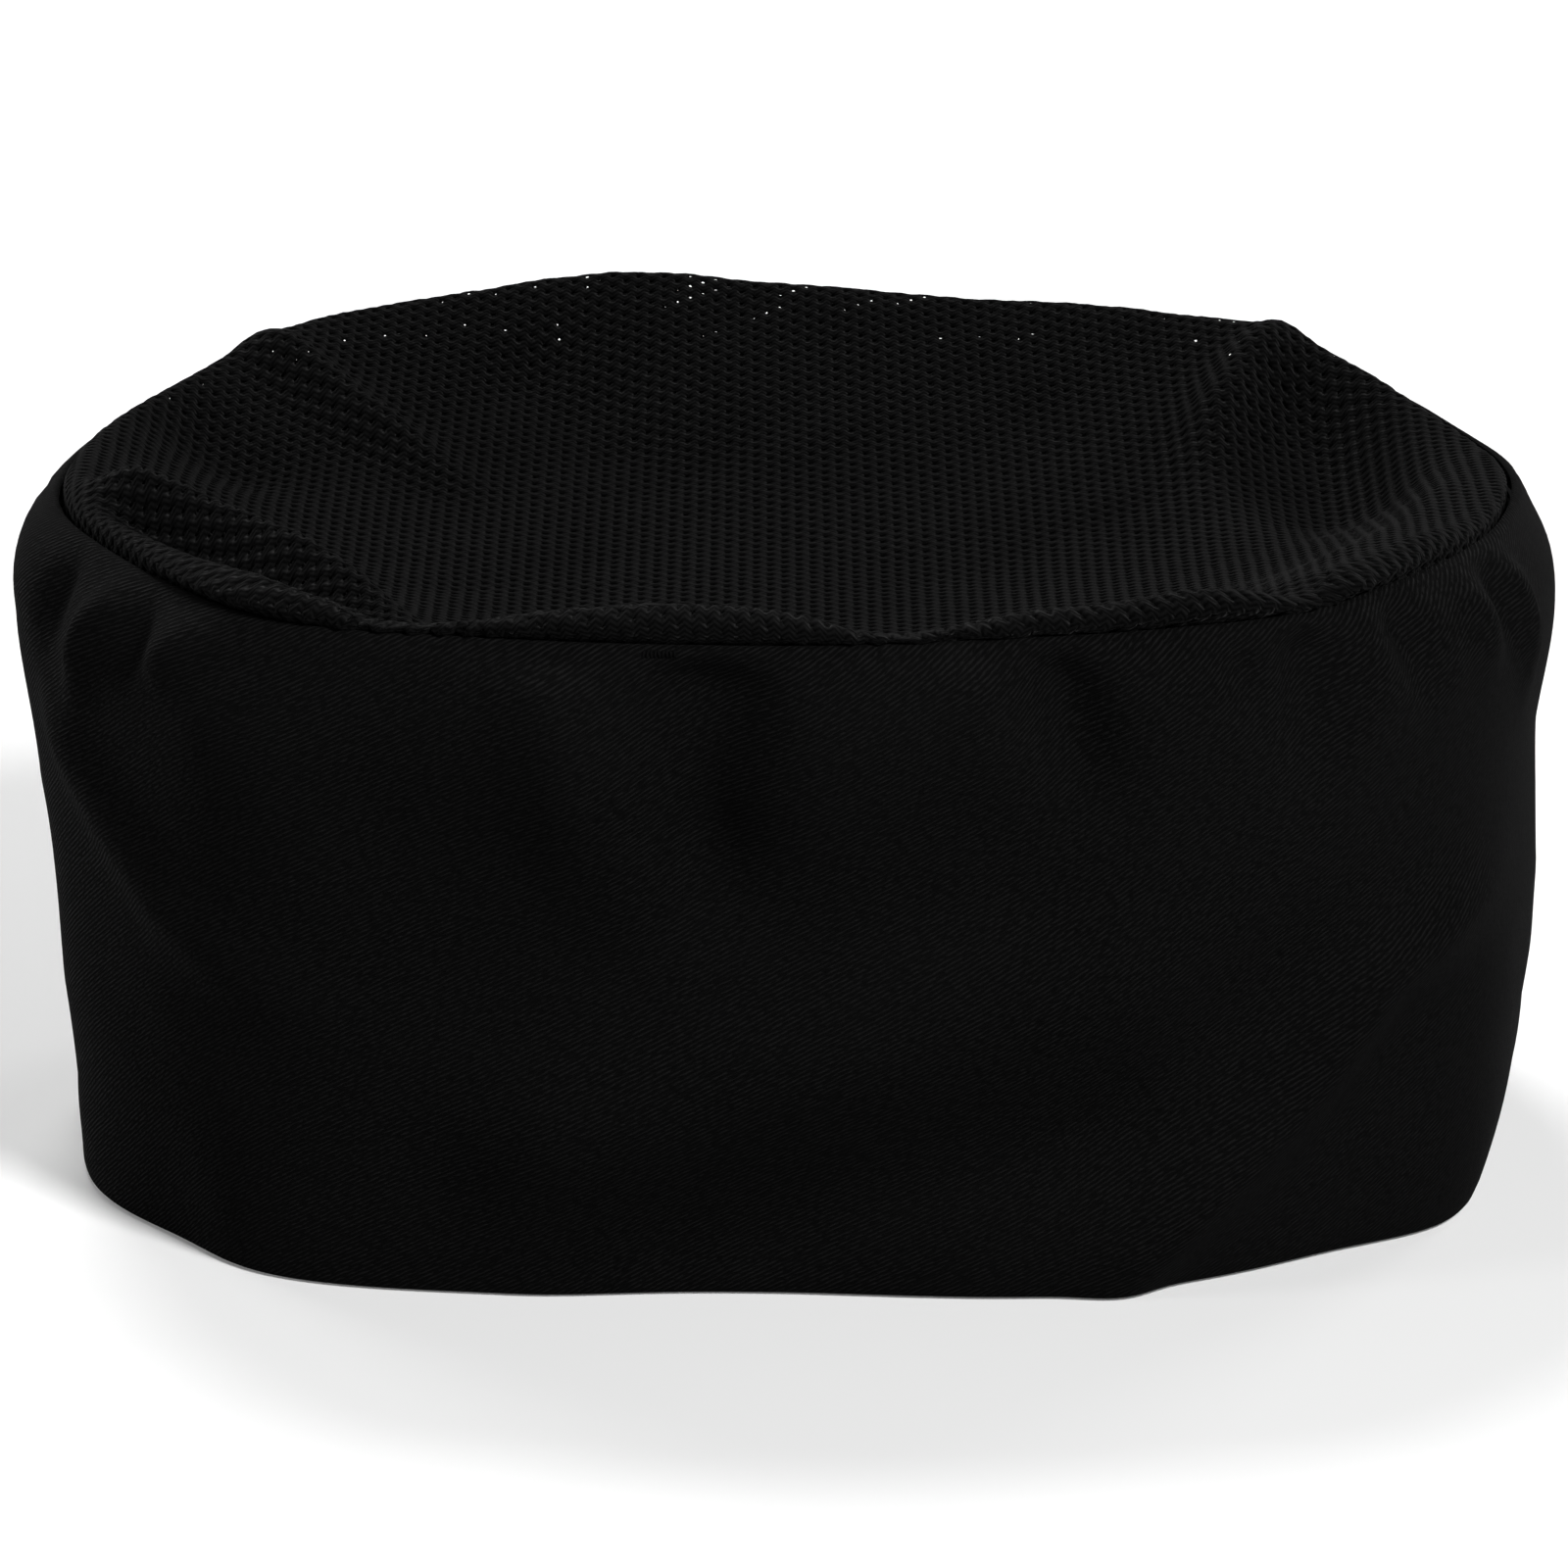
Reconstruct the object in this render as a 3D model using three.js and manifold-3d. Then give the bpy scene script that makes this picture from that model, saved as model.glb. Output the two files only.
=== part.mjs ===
// Chef's skull cap: a stiff twill side band, a dished open-mesh crown and a hook-and-loop
// adjuster that closes an arched opening at the back.
// Units are millimetres. +Z is up, the front faces -Y, and the origin is the middle of the
// cap's footprint on the plane of the hem. The cap stands on its hem.
import * as THREE from 'three';
import Module from 'manifold-3d';
import { mergeVertices } from 'three/addons/utils/BufferGeometryUtils.js';

const wasm = await Module();
wasm.setup();

// ---- Driving dimensions -------------------------------------------------------------------
const BAND_HEIGHT = 88;          // hem to crown seam
const CROWN_FLOOR = 74;          // height of the middle of the dished crown
const CREST_FRONT = 3.5;         // how far the mesh rolls up above the seam in front
const CREST_REAR = 6.5;          // and at the back
const CREST_REACH = 0.95;        // where that roll peaks, as a share of the way to the seam
const DISH_CENTRE = new THREE.Vector2(0, -15);

const CLOTH_GAP = 0.3;           // air left between sewn layers
const OUTER_CLOTH = 0.9;         // the band's twill
const INTERFACING_CLOTH = 0.4;   // the stiffener inside the band
const LINING_CLOTH = 0.6;
const MESH_CLOTH = 0.9;
const TERRY_CLOTH = 1.2;
const TAPE_CLOTH = 0.6;
const LABEL_CLOTH = 0.4;
const STRAP_CLOTH = 0.9;
const PATCH_CLOTH = 0.8;         // each half of the hook-and-loop fastener
const THREAD = 0.5;              // thickness of a line of stitching

const ARCH_HALF_WIDTH = 36;      // the opening at the back of the band
const ARCH_STRAIGHT = 12;        // straight sides, before the curved top
const ARCH_CURVE = 30;           // height of the curved top
const BINDING_WIDTH = 6;         // how far the binding tape covers the band

const STRAP_BOTTOM = 2;
const STRAP_TOP = 22;
const STRAP_HINGE = 30;          // distance of each strap's fold line from the middle
const STRAP_ROOT = 54;           // where the sewn end of a strap stops
const FOLD_GAP = 2;              // bare stretch at the fold, so that the flap can turn
const STRAP_FREE_END = 20;       // how far past the middle a strap's free end reaches
const STRAP_STEP = 0.16;         // share of the loop strap in which it steps in under the other
const PATCH_LENGTH = 36;
const PATCH_MARGIN = 2;          // strap showing round a fastener patch

const INTERFACING_MARGIN = 4;    // the stiffener stops short of the hem and of the seam
const LINING_BOTTOM = 1.5;
const LINING_TOP = 87;
const SEAM_TAPE_BOTTOM = 75;
const SEAM_TAPE_TOP = 85;
const SEAM_STITCH_HEIGHT = 83;
const SWEATBAND_BOTTOM = 3;
const SWEATBAND_TOP = 35;
const SWEATBAND_END = 60;        // the sweatband stops this far each side of the middle back
const SWEATBAND_STITCH = 2.5;    // its stitching runs this far below its top edge

const TACK_TURN = 0.975;         // a tack in the front of the seam, left of the middle
const TACK_HALF_TURN = 0.003;
const TACK_BOTTOM = 85.4;
const TACK_TOP = 86.4;
const BARTACK_MIDDLE = 12;       // the bar tacks at the strap roots: height, half length
const BARTACK_HALF_LENGTH = 7;
const BARTACK_HALF_TURN = 0.0016;
const BARTACK_SETBACK = 3;       // and how far they stand from the binding
const LABEL_BOTTOM = 40;         // the blank label, inside at the back, left of the opening
const LABEL_TOP = 70;
const LABEL_START = -67;
const LABEL_TURN = 0.05;         // its width, as a share of the way round

// Radial places of the layers, measured inwards from the outside of the band.
const INTERFACING_INSET = OUTER_CLOTH + CLOTH_GAP;
const LINING_INSET = INTERFACING_INSET + INTERFACING_CLOTH + CLOTH_GAP;
const BAND_THICKNESS = LINING_INSET + LINING_CLOTH;
const INNER_FACE = BAND_THICKNESS + CLOTH_GAP;
const STRAP_INSET = INNER_FACE + TAPE_CLOTH + CLOTH_GAP;
const HOOK_PATCH_INSET = STRAP_INSET + STRAP_CLOTH + CLOTH_GAP;
const LOOP_PATCH_INSET = HOOK_PATCH_INSET + PATCH_CLOTH + CLOTH_GAP;
const LOOP_STRAP_INSET = LOOP_PATCH_INSET + PATCH_CLOTH + CLOTH_GAP;

// ---- Plan outlines, counterclockwise from the middle of the front --------------------------
// The hem keeps the soft corners of a cap stood on a table; the seam is a rounded hexagon.
const HEM_OUTLINE = [
  [0, -67.5], [32, -68.5], [52, -62], [69, -51], [84, -40], [89.5, -22],
  [92, 8], [86, 42], [64, 70], [32, 81], [0, 83], [-32, 81],
  [-64, 70], [-86, 42], [-92, 6], [-88, -30], [-66.5, -59], [-34, -67.5],
];
const SEAM_OUTLINE = [
  [0, -83.5], [28, -80], [48, -75], [66, -66], [82, -44], [91.5, -19],
  [94.2, 8], [89, 38], [70, 65], [36, 77.5], [0, 80.3], [-34, 80.2],
  [-66, 69], [-87, 38], [-94.8, 6], [-91, -26], [-66, -68.5], [-34, -80],
];
const ROLL_HEIGHT = 5;           // how far the top of the band bellies out below the seam
const ROLL_POWER = 4.74;         // puts that belly at 86% of the band's height
const BARREL_HEIGHT = 4;         // a lower, broader belly, strongest on the wearer's left
const BARREL_POWER = 0.6;
const HALF_WIDTH = 95;

// ---- Materials -----------------------------------------------------------------------------
const cloth = (name, color, roughness) => new THREE.MeshStandardMaterial({
  name, color, roughness, metalness: 0, side: THREE.DoubleSide,
});
const MATERIALS = {
  mesh: cloth('crown_mesh', 0x121212, 0.85),
  twill: cloth('band_twill', 0x0e0e0f, 0.8),
  lining: cloth('lining_cloth', 0x161617, 0.9),
  interfacing: cloth('interfacing', 0x2b2b2b, 0.95),
  terry: cloth('sweatband_terry', 0x141414, 1.0),
  tape: cloth('binding_tape', 0x101011, 0.85),
  hook: cloth('hook_tape', 0x0c0c0c, 0.6),
  loop: cloth('loop_tape', 0x181818, 1.0),
  thread: cloth('thread', 0x1a1a1a, 0.7),
  label: cloth('label_cloth', 0xd8d6d0, 0.8),
};

const cap = new THREE.Group();

function add(name, geometry, material) {
  const mesh = new THREE.Mesh(geometry, material.clone());
  mesh.name = name;
  cap.add(mesh);
  return mesh;
}

// ---- Surfaces ------------------------------------------------------------------------------
function closedCurve(outline) {
  const points = outline.map(([x, y]) => new THREE.Vector3(x, y, 0));
  return new THREE.CatmullRomCurve3(points, true, 'catmullrom', 0.5);
}

const hemCurve = closedCurve(HEM_OUTLINE);
const seamCurve = closedCurve(SEAM_OUTLINE);

// How far the band bellies out at a height, given its place across the cap.
function belly(share, across) {
  const roll = ROLL_HEIGHT * Math.sin(Math.PI * share ** ROLL_POWER);
  const side = 0.5 + 0.5 * THREE.MathUtils.clamp(across / HALF_WIDTH, -1, 1);
  return roll + BARREL_HEIGHT * side * Math.sin(Math.PI * share ** BARREL_POWER);
}

// A point of the band's smooth wall: turn is 0..1 round the cap, inset is depth in from outside.
function smoothWallPoint(turn, height, inset) {
  const share = height / BAND_HEIGHT;
  const point = hemCurve.getPoint(turn).lerp(seamCurve.getPoint(turn), share);
  const along = hemCurve.getTangent(turn).lerp(seamCurve.getTangent(turn), share);
  const outward = new THREE.Vector3(along.y, -along.x, 0).normalize();
  point.addScaledVector(outward, belly(share, point.x) - inset);
  point.z = height;
  return point;
}

// Every layer lies on the same flat facets, so neighbouring layers never cross.
const AROUND = 60;
const FACET_HEIGHTS = [0, 10, 38, 60, 74, 82, BAND_HEIGHT];

function wallPoint(turn, height, inset) {
  const around = (((turn % 1) + 1) % 1) * AROUND;
  const column = Math.floor(around);
  const above = FACET_HEIGHTS.findIndex((level) => level >= height && level > 0);
  const low = FACET_HEIGHTS[above - 1];
  const high = FACET_HEIGHTS[above];
  const edge = (level) => smoothWallPoint(column / AROUND, level, inset)
    .lerp(smoothWallPoint(((column + 1) % AROUND) / AROUND, level, inset), around - column);
  return edge(low).lerp(edge(high), (height - low) / (high - low));
}

// The turn at which the back of the band passes a given x, found by halving.
function rearTurnAt(x, height, inset) {
  let low = 0.36;
  let high = 0.66;
  for (let step = 0; step < 40; step += 1) {
    const middle = (low + high) / 2;
    if (wallPoint(middle, height, inset).x > x) low = middle;
    else high = middle;
  }
  return (low + high) / 2;
}

// A point across the crown: reach is 0 in the middle of the dish and 1 at the seam.
function crownPoint(turn, reach, lift) {
  const rim = wallPoint(turn, BAND_HEIGHT, 0);
  const rearward = 0.5 + 0.5 * THREE.MathUtils.clamp(rim.y / HALF_WIDTH, -1, 1);
  const crest = BAND_HEIGHT + THREE.MathUtils.lerp(CREST_FRONT, CREST_REAR, rearward);
  const x = THREE.MathUtils.lerp(DISH_CENTRE.x, rim.x, reach);
  const y = THREE.MathUtils.lerp(DISH_CENTRE.y, rim.y, reach);
  let z = CROWN_FLOOR + (crest - CROWN_FLOOR) * (reach / CREST_REACH) ** 2;
  if (reach > CREST_REACH) {
    const past = (reach - CREST_REACH) / (1 - CREST_REACH);
    z = BAND_HEIGHT + CLOTH_GAP + (crest - BAND_HEIGHT) * Math.sqrt(Math.max(0, 1 - past * past));
  }
  return new THREE.Vector3(x, y, z + lift);
}

// ---- Solids --------------------------------------------------------------------------------
function geometryFrom(points, faces) {
  const volume = faces.reduce((sum, [a, b, c]) => (
    sum + points[a].dot(new THREE.Vector3().crossVectors(points[b], points[c])) / 6), 0);
  const outwards = volume < 0 ? faces.map(([a, b, c]) => [a, c, b]) : faces;
  const geometry = new THREE.BufferGeometry();
  const flat = points.flatMap((p) => [p.x, p.y, p.z]);
  geometry.setAttribute('position', new THREE.Float32BufferAttribute(flat, 3));
  geometry.setIndex(outwards.flat());
  geometry.computeVertexNormals();
  return geometry;
}

// A closed slab between two facing grids of points. near and far give a point for (i, j).
// A looped slab closes on itself in i, as a ring does; any other slab has walls at both ends.
function slab(near, far, countI, countJ, looped) {
  const rows = looped ? countI : countI + 1;
  const points = [];
  for (const side of [near, far]) {
    for (let i = 0; i < rows; i += 1) {
      for (let j = 0; j <= countJ; j += 1) points.push(side(i, j));
    }
  }
  const at = (side, i, j) => side * rows * (countJ + 1) + (i % rows) * (countJ + 1) + j;
  const faces = [];
  const quad = (a, b, c, d) => faces.push([a, b, c], [a, c, d]);
  for (let i = 0; i < countI; i += 1) {
    for (let j = 0; j < countJ; j += 1) {
      quad(at(0, i, j), at(0, i + 1, j), at(0, i + 1, j + 1), at(0, i, j + 1));
      quad(at(1, i, j), at(1, i, j + 1), at(1, i + 1, j + 1), at(1, i + 1, j));
    }
    quad(at(0, i, 0), at(1, i, 0), at(1, i + 1, 0), at(0, i + 1, 0));
    quad(at(0, i, countJ), at(0, i + 1, countJ), at(1, i + 1, countJ), at(1, i, countJ));
  }
  if (!looped) {
    for (let j = 0; j < countJ; j += 1) {
      quad(at(0, 0, j), at(0, 0, j + 1), at(1, 0, j + 1), at(1, 0, j));
      quad(at(0, countI, j), at(1, countI, j), at(1, countI, j + 1), at(0, countI, j + 1));
    }
  }
  return geometryFrom(points, faces);
}

// stops are extra places to bend, as shares of the way from start to end.
function turnsBetween(start, end, stops) {
  const least = 0.1 / AROUND;
  const turns = stops.map((share) => THREE.MathUtils.lerp(start, end, share));
  for (let step = Math.ceil(start * AROUND); step < end * AROUND; step += 1) {
    turns.push(step / AROUND);
  }
  const inside = turns.filter((turn) => turn - start > least && end - turn > least);
  return [start, ...inside.sort((a, b) => a - b), end];
}

function heightsBetween(bottom, top) {
  return [bottom, ...FACET_HEIGHTS.filter((height) => height > bottom && height < top), top];
}

// A layer that goes all the way round the cap between two heights.
function ringLayer(bottom, top, inset, thickness) {
  const heights = heightsBetween(bottom, top);
  return slab(
    (i, j) => wallPoint(i / AROUND, heights[j], inset),
    (i, j) => wallPoint(i / AROUND, heights[j], inset + thickness),
    AROUND, heights.length - 1, true,
  );
}

// A layer that goes part of the way round. insetAt gives its depth from the share of its length.
function stripLayer(startTurn, endTurn, bottom, top, insetAt, thickness, stops = []) {
  const start = Math.min(startTurn, endTurn);
  const end = Math.max(startTurn, endTurn);
  const turns = turnsBetween(start, end, stops);
  const heights = heightsBetween(bottom, top);
  const inset = (i) => insetAt((turns[i] - start) / (end - start));
  return slab(
    (i, j) => wallPoint(turns[i], heights[j], inset(i)),
    (i, j) => wallPoint(turns[i], heights[j], inset(i) + thickness),
    turns.length - 1, heights.length - 1, false,
  );
}

const constant = (value) => () => value;

// ---- Boolean helpers -----------------------------------------------------------------------
function toManifold(geometry) {
  const bare = geometry.clone();
  bare.deleteAttribute('normal');
  bare.deleteAttribute('uv');
  const merged = mergeVertices(bare, 1e-4);
  return new wasm.Manifold(new wasm.Mesh({
    numProp: 3,
    vertProperties: new Float32Array(merged.attributes.position.array),
    triVerts: new Uint32Array(merged.index.array),
  }));
}

function toGeometry(solid) {
  const mesh = solid.getMesh();
  const geometry = new THREE.BufferGeometry();
  geometry.setAttribute('position', new THREE.BufferAttribute(mesh.vertProperties, 3));
  geometry.setIndex(new THREE.BufferAttribute(mesh.triVerts, 1));
  geometry.computeVertexNormals();
  return geometry;
}

// The arched opening as a prism through the back of the cap, grown by a margin.
const PRISM_DEPTH = 40;
const PRISM_BACK = 100;
const BELOW_HEM = -5;
function archPrism(margin, bottom = BELOW_HEM) {
  const halfWidth = ARCH_HALF_WIDTH + margin;
  const shape = new THREE.Shape();
  shape.moveTo(-halfWidth, bottom);
  shape.lineTo(halfWidth, bottom);
  shape.lineTo(halfWidth, ARCH_STRAIGHT);
  shape.absellipse(0, ARCH_STRAIGHT, halfWidth, ARCH_CURVE + margin, 0, Math.PI, false, 0);
  shape.closePath();
  const prism = new THREE.ExtrudeGeometry(shape, {
    depth: PRISM_DEPTH, bevelEnabled: false, curveSegments: 14,
  });
  prism.rotateX(Math.PI / 2);
  prism.translate(0, PRISM_BACK, 0);
  return toManifold(prism);
}

const opening = archPrism(0);

// ---- The band: twill outside, stiffener, lining --------------------------------------------
function bandLayers() {
  const outer = ringLayer(0, BAND_HEIGHT, 0, OUTER_CLOTH);
  add('band_outer', toGeometry(toManifold(outer).subtract(opening)), MATERIALS.twill);

  const stiffener = ringLayer(
    INTERFACING_MARGIN, BAND_HEIGHT - INTERFACING_MARGIN, INTERFACING_INSET, INTERFACING_CLOTH,
  );
  const clear = archPrism(BINDING_WIDTH + 2);
  add('band_interfacing', toGeometry(toManifold(stiffener).subtract(clear)), MATERIALS.interfacing);

  const lining = ringLayer(LINING_BOTTOM, LINING_TOP, LINING_INSET, LINING_CLOTH);
  add('band_lining', toGeometry(toManifold(lining).subtract(opening)), MATERIALS.lining);
}

// ---- The crown and its seam ----------------------------------------------------------------
function crown() {
  const reaches = [0.06, 0.25, 0.45, 0.65, 0.82, CREST_REACH, 0.985, 1];
  const last = reaches.length - 1;
  const dish = slab(
    (i, j) => crownPoint(i / AROUND, reaches[j], 0),
    (i, j) => crownPoint(i / AROUND, reaches[j], MESH_CLOTH),
    AROUND, last, true,
  );
  // The ring above leaves a small hole in the middle of the dish, which this plug fills.
  const plugAround = 12;
  const plugReach = [0, 0.1];
  const plugPoints = [crownPoint(0, plugReach[0], 0), crownPoint(0, plugReach[0], MESH_CLOTH)];
  const plugFaces = [];
  for (let i = 0; i < plugAround; i += 1) {
    plugPoints.push(crownPoint(i / plugAround, plugReach[1], 0));
    plugPoints.push(crownPoint(i / plugAround, plugReach[1], MESH_CLOTH));
    const here = 2 + 2 * i;
    const next = 2 + 2 * ((i + 1) % plugAround);
    plugFaces.push([0, next, here], [1, here + 1, next + 1]);
    plugFaces.push([here, next, next + 1], [here, next + 1, here + 1]);
  }
  const plug = geometryFrom(plugPoints, plugFaces);
  add('crown_mesh', toGeometry(toManifold(dish).add(toManifold(plug))), MATERIALS.mesh);

  add('crown_seam_tape',
    ringLayer(SEAM_TAPE_BOTTOM, SEAM_TAPE_TOP, INNER_FACE, TAPE_CLOTH), MATERIALS.tape);
  add('crown_seam_stitching', ringLayer(
    SEAM_STITCH_HEIGHT, SEAM_STITCH_HEIGHT + THREAD, INNER_FACE + TAPE_CLOTH + CLOTH_GAP, THREAD,
  ), MATERIALS.thread);

  add('seam_tack', stripLayer(
    TACK_TURN - TACK_HALF_TURN, TACK_TURN + TACK_HALF_TURN, TACK_BOTTOM, TACK_TOP,
    constant(-CLOTH_GAP - THREAD), THREAD,
  ), MATERIALS.thread);
}

// ---- The sweatband, from one strap root round the front to the other ------------------------
function sweatband() {
  const start = rearTurnAt(-SWEATBAND_END, SWEATBAND_TOP, INNER_FACE);
  const end = rearTurnAt(SWEATBAND_END, SWEATBAND_TOP, INNER_FACE) + 1;
  add('sweatband', stripLayer(
    start, end, SWEATBAND_BOTTOM, SWEATBAND_TOP, constant(INNER_FACE), TERRY_CLOTH,
  ), MATERIALS.terry);
  const short = 0.002;
  const height = SWEATBAND_TOP - SWEATBAND_STITCH;
  add('sweatband_stitching', stripLayer(
    start + short, end - short, height, height + THREAD,
    constant(INNER_FACE + TERRY_CLOTH + CLOTH_GAP), THREAD,
  ), MATERIALS.thread);
}

// ---- Binding round the arched opening ------------------------------------------------------
const REAR_FACETS = [22, 41];    // the facets across the back of the cap
function archBinding() {
  const bottom = 0.4;
  const shell = (inset, thickness) => toManifold(stripLayer(
    REAR_FACETS[0] / AROUND, REAR_FACETS[1] / AROUND, FACET_HEIGHTS[0], FACET_HEIGHTS[3],
    constant(inset), thickness,
  ));
  const around = archPrism(BINDING_WIDTH, bottom).subtract(archPrism(-CLOTH_GAP - TAPE_CLOTH));
  const wrap = shell(-CLOTH_GAP - TAPE_CLOTH, BAND_THICKNESS + 2 * (CLOTH_GAP + TAPE_CLOTH));
  const heart = shell(-CLOTH_GAP, BAND_THICKNESS + 2 * CLOTH_GAP);
  const tape = wrap.intersect(around);
  const faces = tape.subtract(heart);
  const edge = tape.intersect(archPrism(-CLOTH_GAP));
  add('arch_binding', toGeometry(faces.add(edge)), MATERIALS.tape);

  const lineIn = BINDING_WIDTH - 2;
  const line = archPrism(lineIn + THREAD, bottom).subtract(archPrism(lineIn));
  const face = shell(-2 * CLOTH_GAP - TAPE_CLOTH - THREAD, THREAD);
  add('arch_binding_stitching', toGeometry(face.intersect(line)), MATERIALS.thread);
}

// ---- The adjuster: two straps that lap over each other across the opening -------------------
// side is +1 for the strap rooted at +X and -1 for the other.
function strapPiece(side, fromX, toX, bottom, top, insetAt, thickness, stops) {
  const middle = (bottom + top) / 2;
  const start = rearTurnAt(side * fromX, middle, STRAP_INSET);
  const end = rearTurnAt(side * toX, middle, STRAP_INSET);
  return stripLayer(start, end, bottom, top, insetAt, thickness, stops);
}

// A rectangle of stitching that runs round a fastener patch.
function patchStitching(side, inset) {
  const inner = 1.5;
  const outline = (margin) => strapPiece(
    side, -STRAP_FREE_END + PATCH_MARGIN + margin + PATCH_LENGTH - 2 * margin,
    -STRAP_FREE_END + PATCH_MARGIN + margin,
    STRAP_BOTTOM + PATCH_MARGIN + margin, STRAP_TOP - PATCH_MARGIN - margin,
    constant(inset), THREAD,
  );
  const hole = strapPiece(
    side, -STRAP_FREE_END + PATCH_MARGIN + PATCH_LENGTH - inner - THREAD,
    -STRAP_FREE_END + PATCH_MARGIN + inner + THREAD,
    STRAP_BOTTOM + PATCH_MARGIN + inner + THREAD, STRAP_TOP - PATCH_MARGIN - inner - THREAD,
    constant(inset - 1), THREAD + 2,
  );
  return toGeometry(toManifold(outline(inner)).subtract(toManifold(hole)));
}

function adjuster() {
  const foldGap = FOLD_GAP / 2;
  const rootInset = constant(STRAP_INSET);

  // Hook strap: rooted at +X, lies outside, fastener on its inner face.
  add('hook_strap_root', strapPiece(
    1, STRAP_ROOT, STRAP_HINGE + foldGap, STRAP_BOTTOM, STRAP_TOP, rootInset, STRAP_CLOTH,
  ), MATERIALS.twill);
  add('hook_strap_flap', strapPiece(
    1, STRAP_HINGE - foldGap, -STRAP_FREE_END, STRAP_BOTTOM, STRAP_TOP, rootInset, STRAP_CLOTH,
  ), MATERIALS.twill);
  add('hook_patch', strapPiece(
    1, -STRAP_FREE_END + PATCH_MARGIN + PATCH_LENGTH, -STRAP_FREE_END + PATCH_MARGIN,
    STRAP_BOTTOM + PATCH_MARGIN, STRAP_TOP - PATCH_MARGIN,
    constant(HOOK_PATCH_INSET), PATCH_CLOTH,
  ), MATERIALS.hook);
  add('hook_patch_stitching',
    patchStitching(1, STRAP_INSET - CLOTH_GAP - THREAD), MATERIALS.thread);

  // Loop strap: rooted at -X, steps inwards so that it lies inside, fastener on its outer face.
  // Turns run from +X to -X here, so the rooted end of this strap is at share 1.
  const step = (share) => THREE.MathUtils.lerp(
    STRAP_INSET, LOOP_STRAP_INSET, THREE.MathUtils.smoothstep(1 - share, 0, STRAP_STEP));
  const bends = [1, 0.75, 0.5, 0.25].map((part) => 1 - part * STRAP_STEP);
  add('loop_strap_root', strapPiece(
    -1, STRAP_ROOT, STRAP_HINGE + foldGap, STRAP_BOTTOM, STRAP_TOP, rootInset, STRAP_CLOTH,
  ), MATERIALS.twill);
  add('loop_strap_flap', strapPiece(
    -1, STRAP_HINGE - foldGap, -STRAP_FREE_END, STRAP_BOTTOM, STRAP_TOP, step, STRAP_CLOTH, bends,
  ), MATERIALS.twill);
  add('loop_patch', strapPiece(
    -1, -STRAP_FREE_END + PATCH_MARGIN + PATCH_LENGTH, -STRAP_FREE_END + PATCH_MARGIN,
    STRAP_BOTTOM + PATCH_MARGIN, STRAP_TOP - PATCH_MARGIN,
    constant(LOOP_PATCH_INSET), PATCH_CLOTH,
  ), MATERIALS.loop);
  add('loop_patch_stitching',
    patchStitching(-1, LOOP_STRAP_INSET + STRAP_CLOTH + CLOTH_GAP), MATERIALS.thread);
}

// ---- Bar tacks at the strap roots, and the blank care label ---------------------------------
function bartacks() {
  const x = ARCH_HALF_WIDTH + BINDING_WIDTH + BARTACK_SETBACK;
  for (const [side, name] of [[1, 'bartack_right'], [-1, 'bartack_left']]) {
    const turn = rearTurnAt(side * x, BARTACK_MIDDLE, 0);
    add(name, stripLayer(
      turn - BARTACK_HALF_TURN, turn + BARTACK_HALF_TURN,
      BARTACK_MIDDLE - BARTACK_HALF_LENGTH, BARTACK_MIDDLE + BARTACK_HALF_LENGTH,
      constant(-CLOTH_GAP - THREAD), THREAD,
    ), MATERIALS.thread);
  }
}

function careLabel() {
  const turn = rearTurnAt(LABEL_START, LABEL_TOP, INNER_FACE);
  add('care_label', stripLayer(
    turn, turn + LABEL_TURN, LABEL_BOTTOM, LABEL_TOP, constant(INNER_FACE), LABEL_CLOTH,
  ), MATERIALS.label);
}

bandLayers();
crown();
sweatband();
archBinding();
adjuster();
bartacks();
careLabel();

export default cap;
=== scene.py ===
"""A black chef's skull cap: twill band, dished open-mesh crown, hook-and-loop adjuster.

The cap stands on its hem on a pale floor. Shapes are worked out in millimetres, in the frame of
the CAD model, and turned into metres when a mesh is made.
"""
import math

import bmesh
import bpy
import numpy as np
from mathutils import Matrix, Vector


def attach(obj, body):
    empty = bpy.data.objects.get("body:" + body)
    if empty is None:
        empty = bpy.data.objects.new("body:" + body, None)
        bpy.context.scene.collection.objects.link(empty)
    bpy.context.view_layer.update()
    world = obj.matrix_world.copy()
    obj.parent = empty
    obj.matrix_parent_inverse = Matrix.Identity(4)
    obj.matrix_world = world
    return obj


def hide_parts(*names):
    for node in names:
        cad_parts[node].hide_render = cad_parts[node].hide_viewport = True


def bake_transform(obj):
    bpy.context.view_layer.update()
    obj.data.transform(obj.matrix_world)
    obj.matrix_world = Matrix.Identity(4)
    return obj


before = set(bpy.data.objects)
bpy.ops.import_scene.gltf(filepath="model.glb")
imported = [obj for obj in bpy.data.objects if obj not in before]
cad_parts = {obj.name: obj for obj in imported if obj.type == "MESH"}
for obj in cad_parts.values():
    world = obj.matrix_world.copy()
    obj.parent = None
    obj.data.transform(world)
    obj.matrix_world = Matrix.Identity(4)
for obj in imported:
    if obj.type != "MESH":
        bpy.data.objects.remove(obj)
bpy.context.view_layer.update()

MM = 0.001

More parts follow.
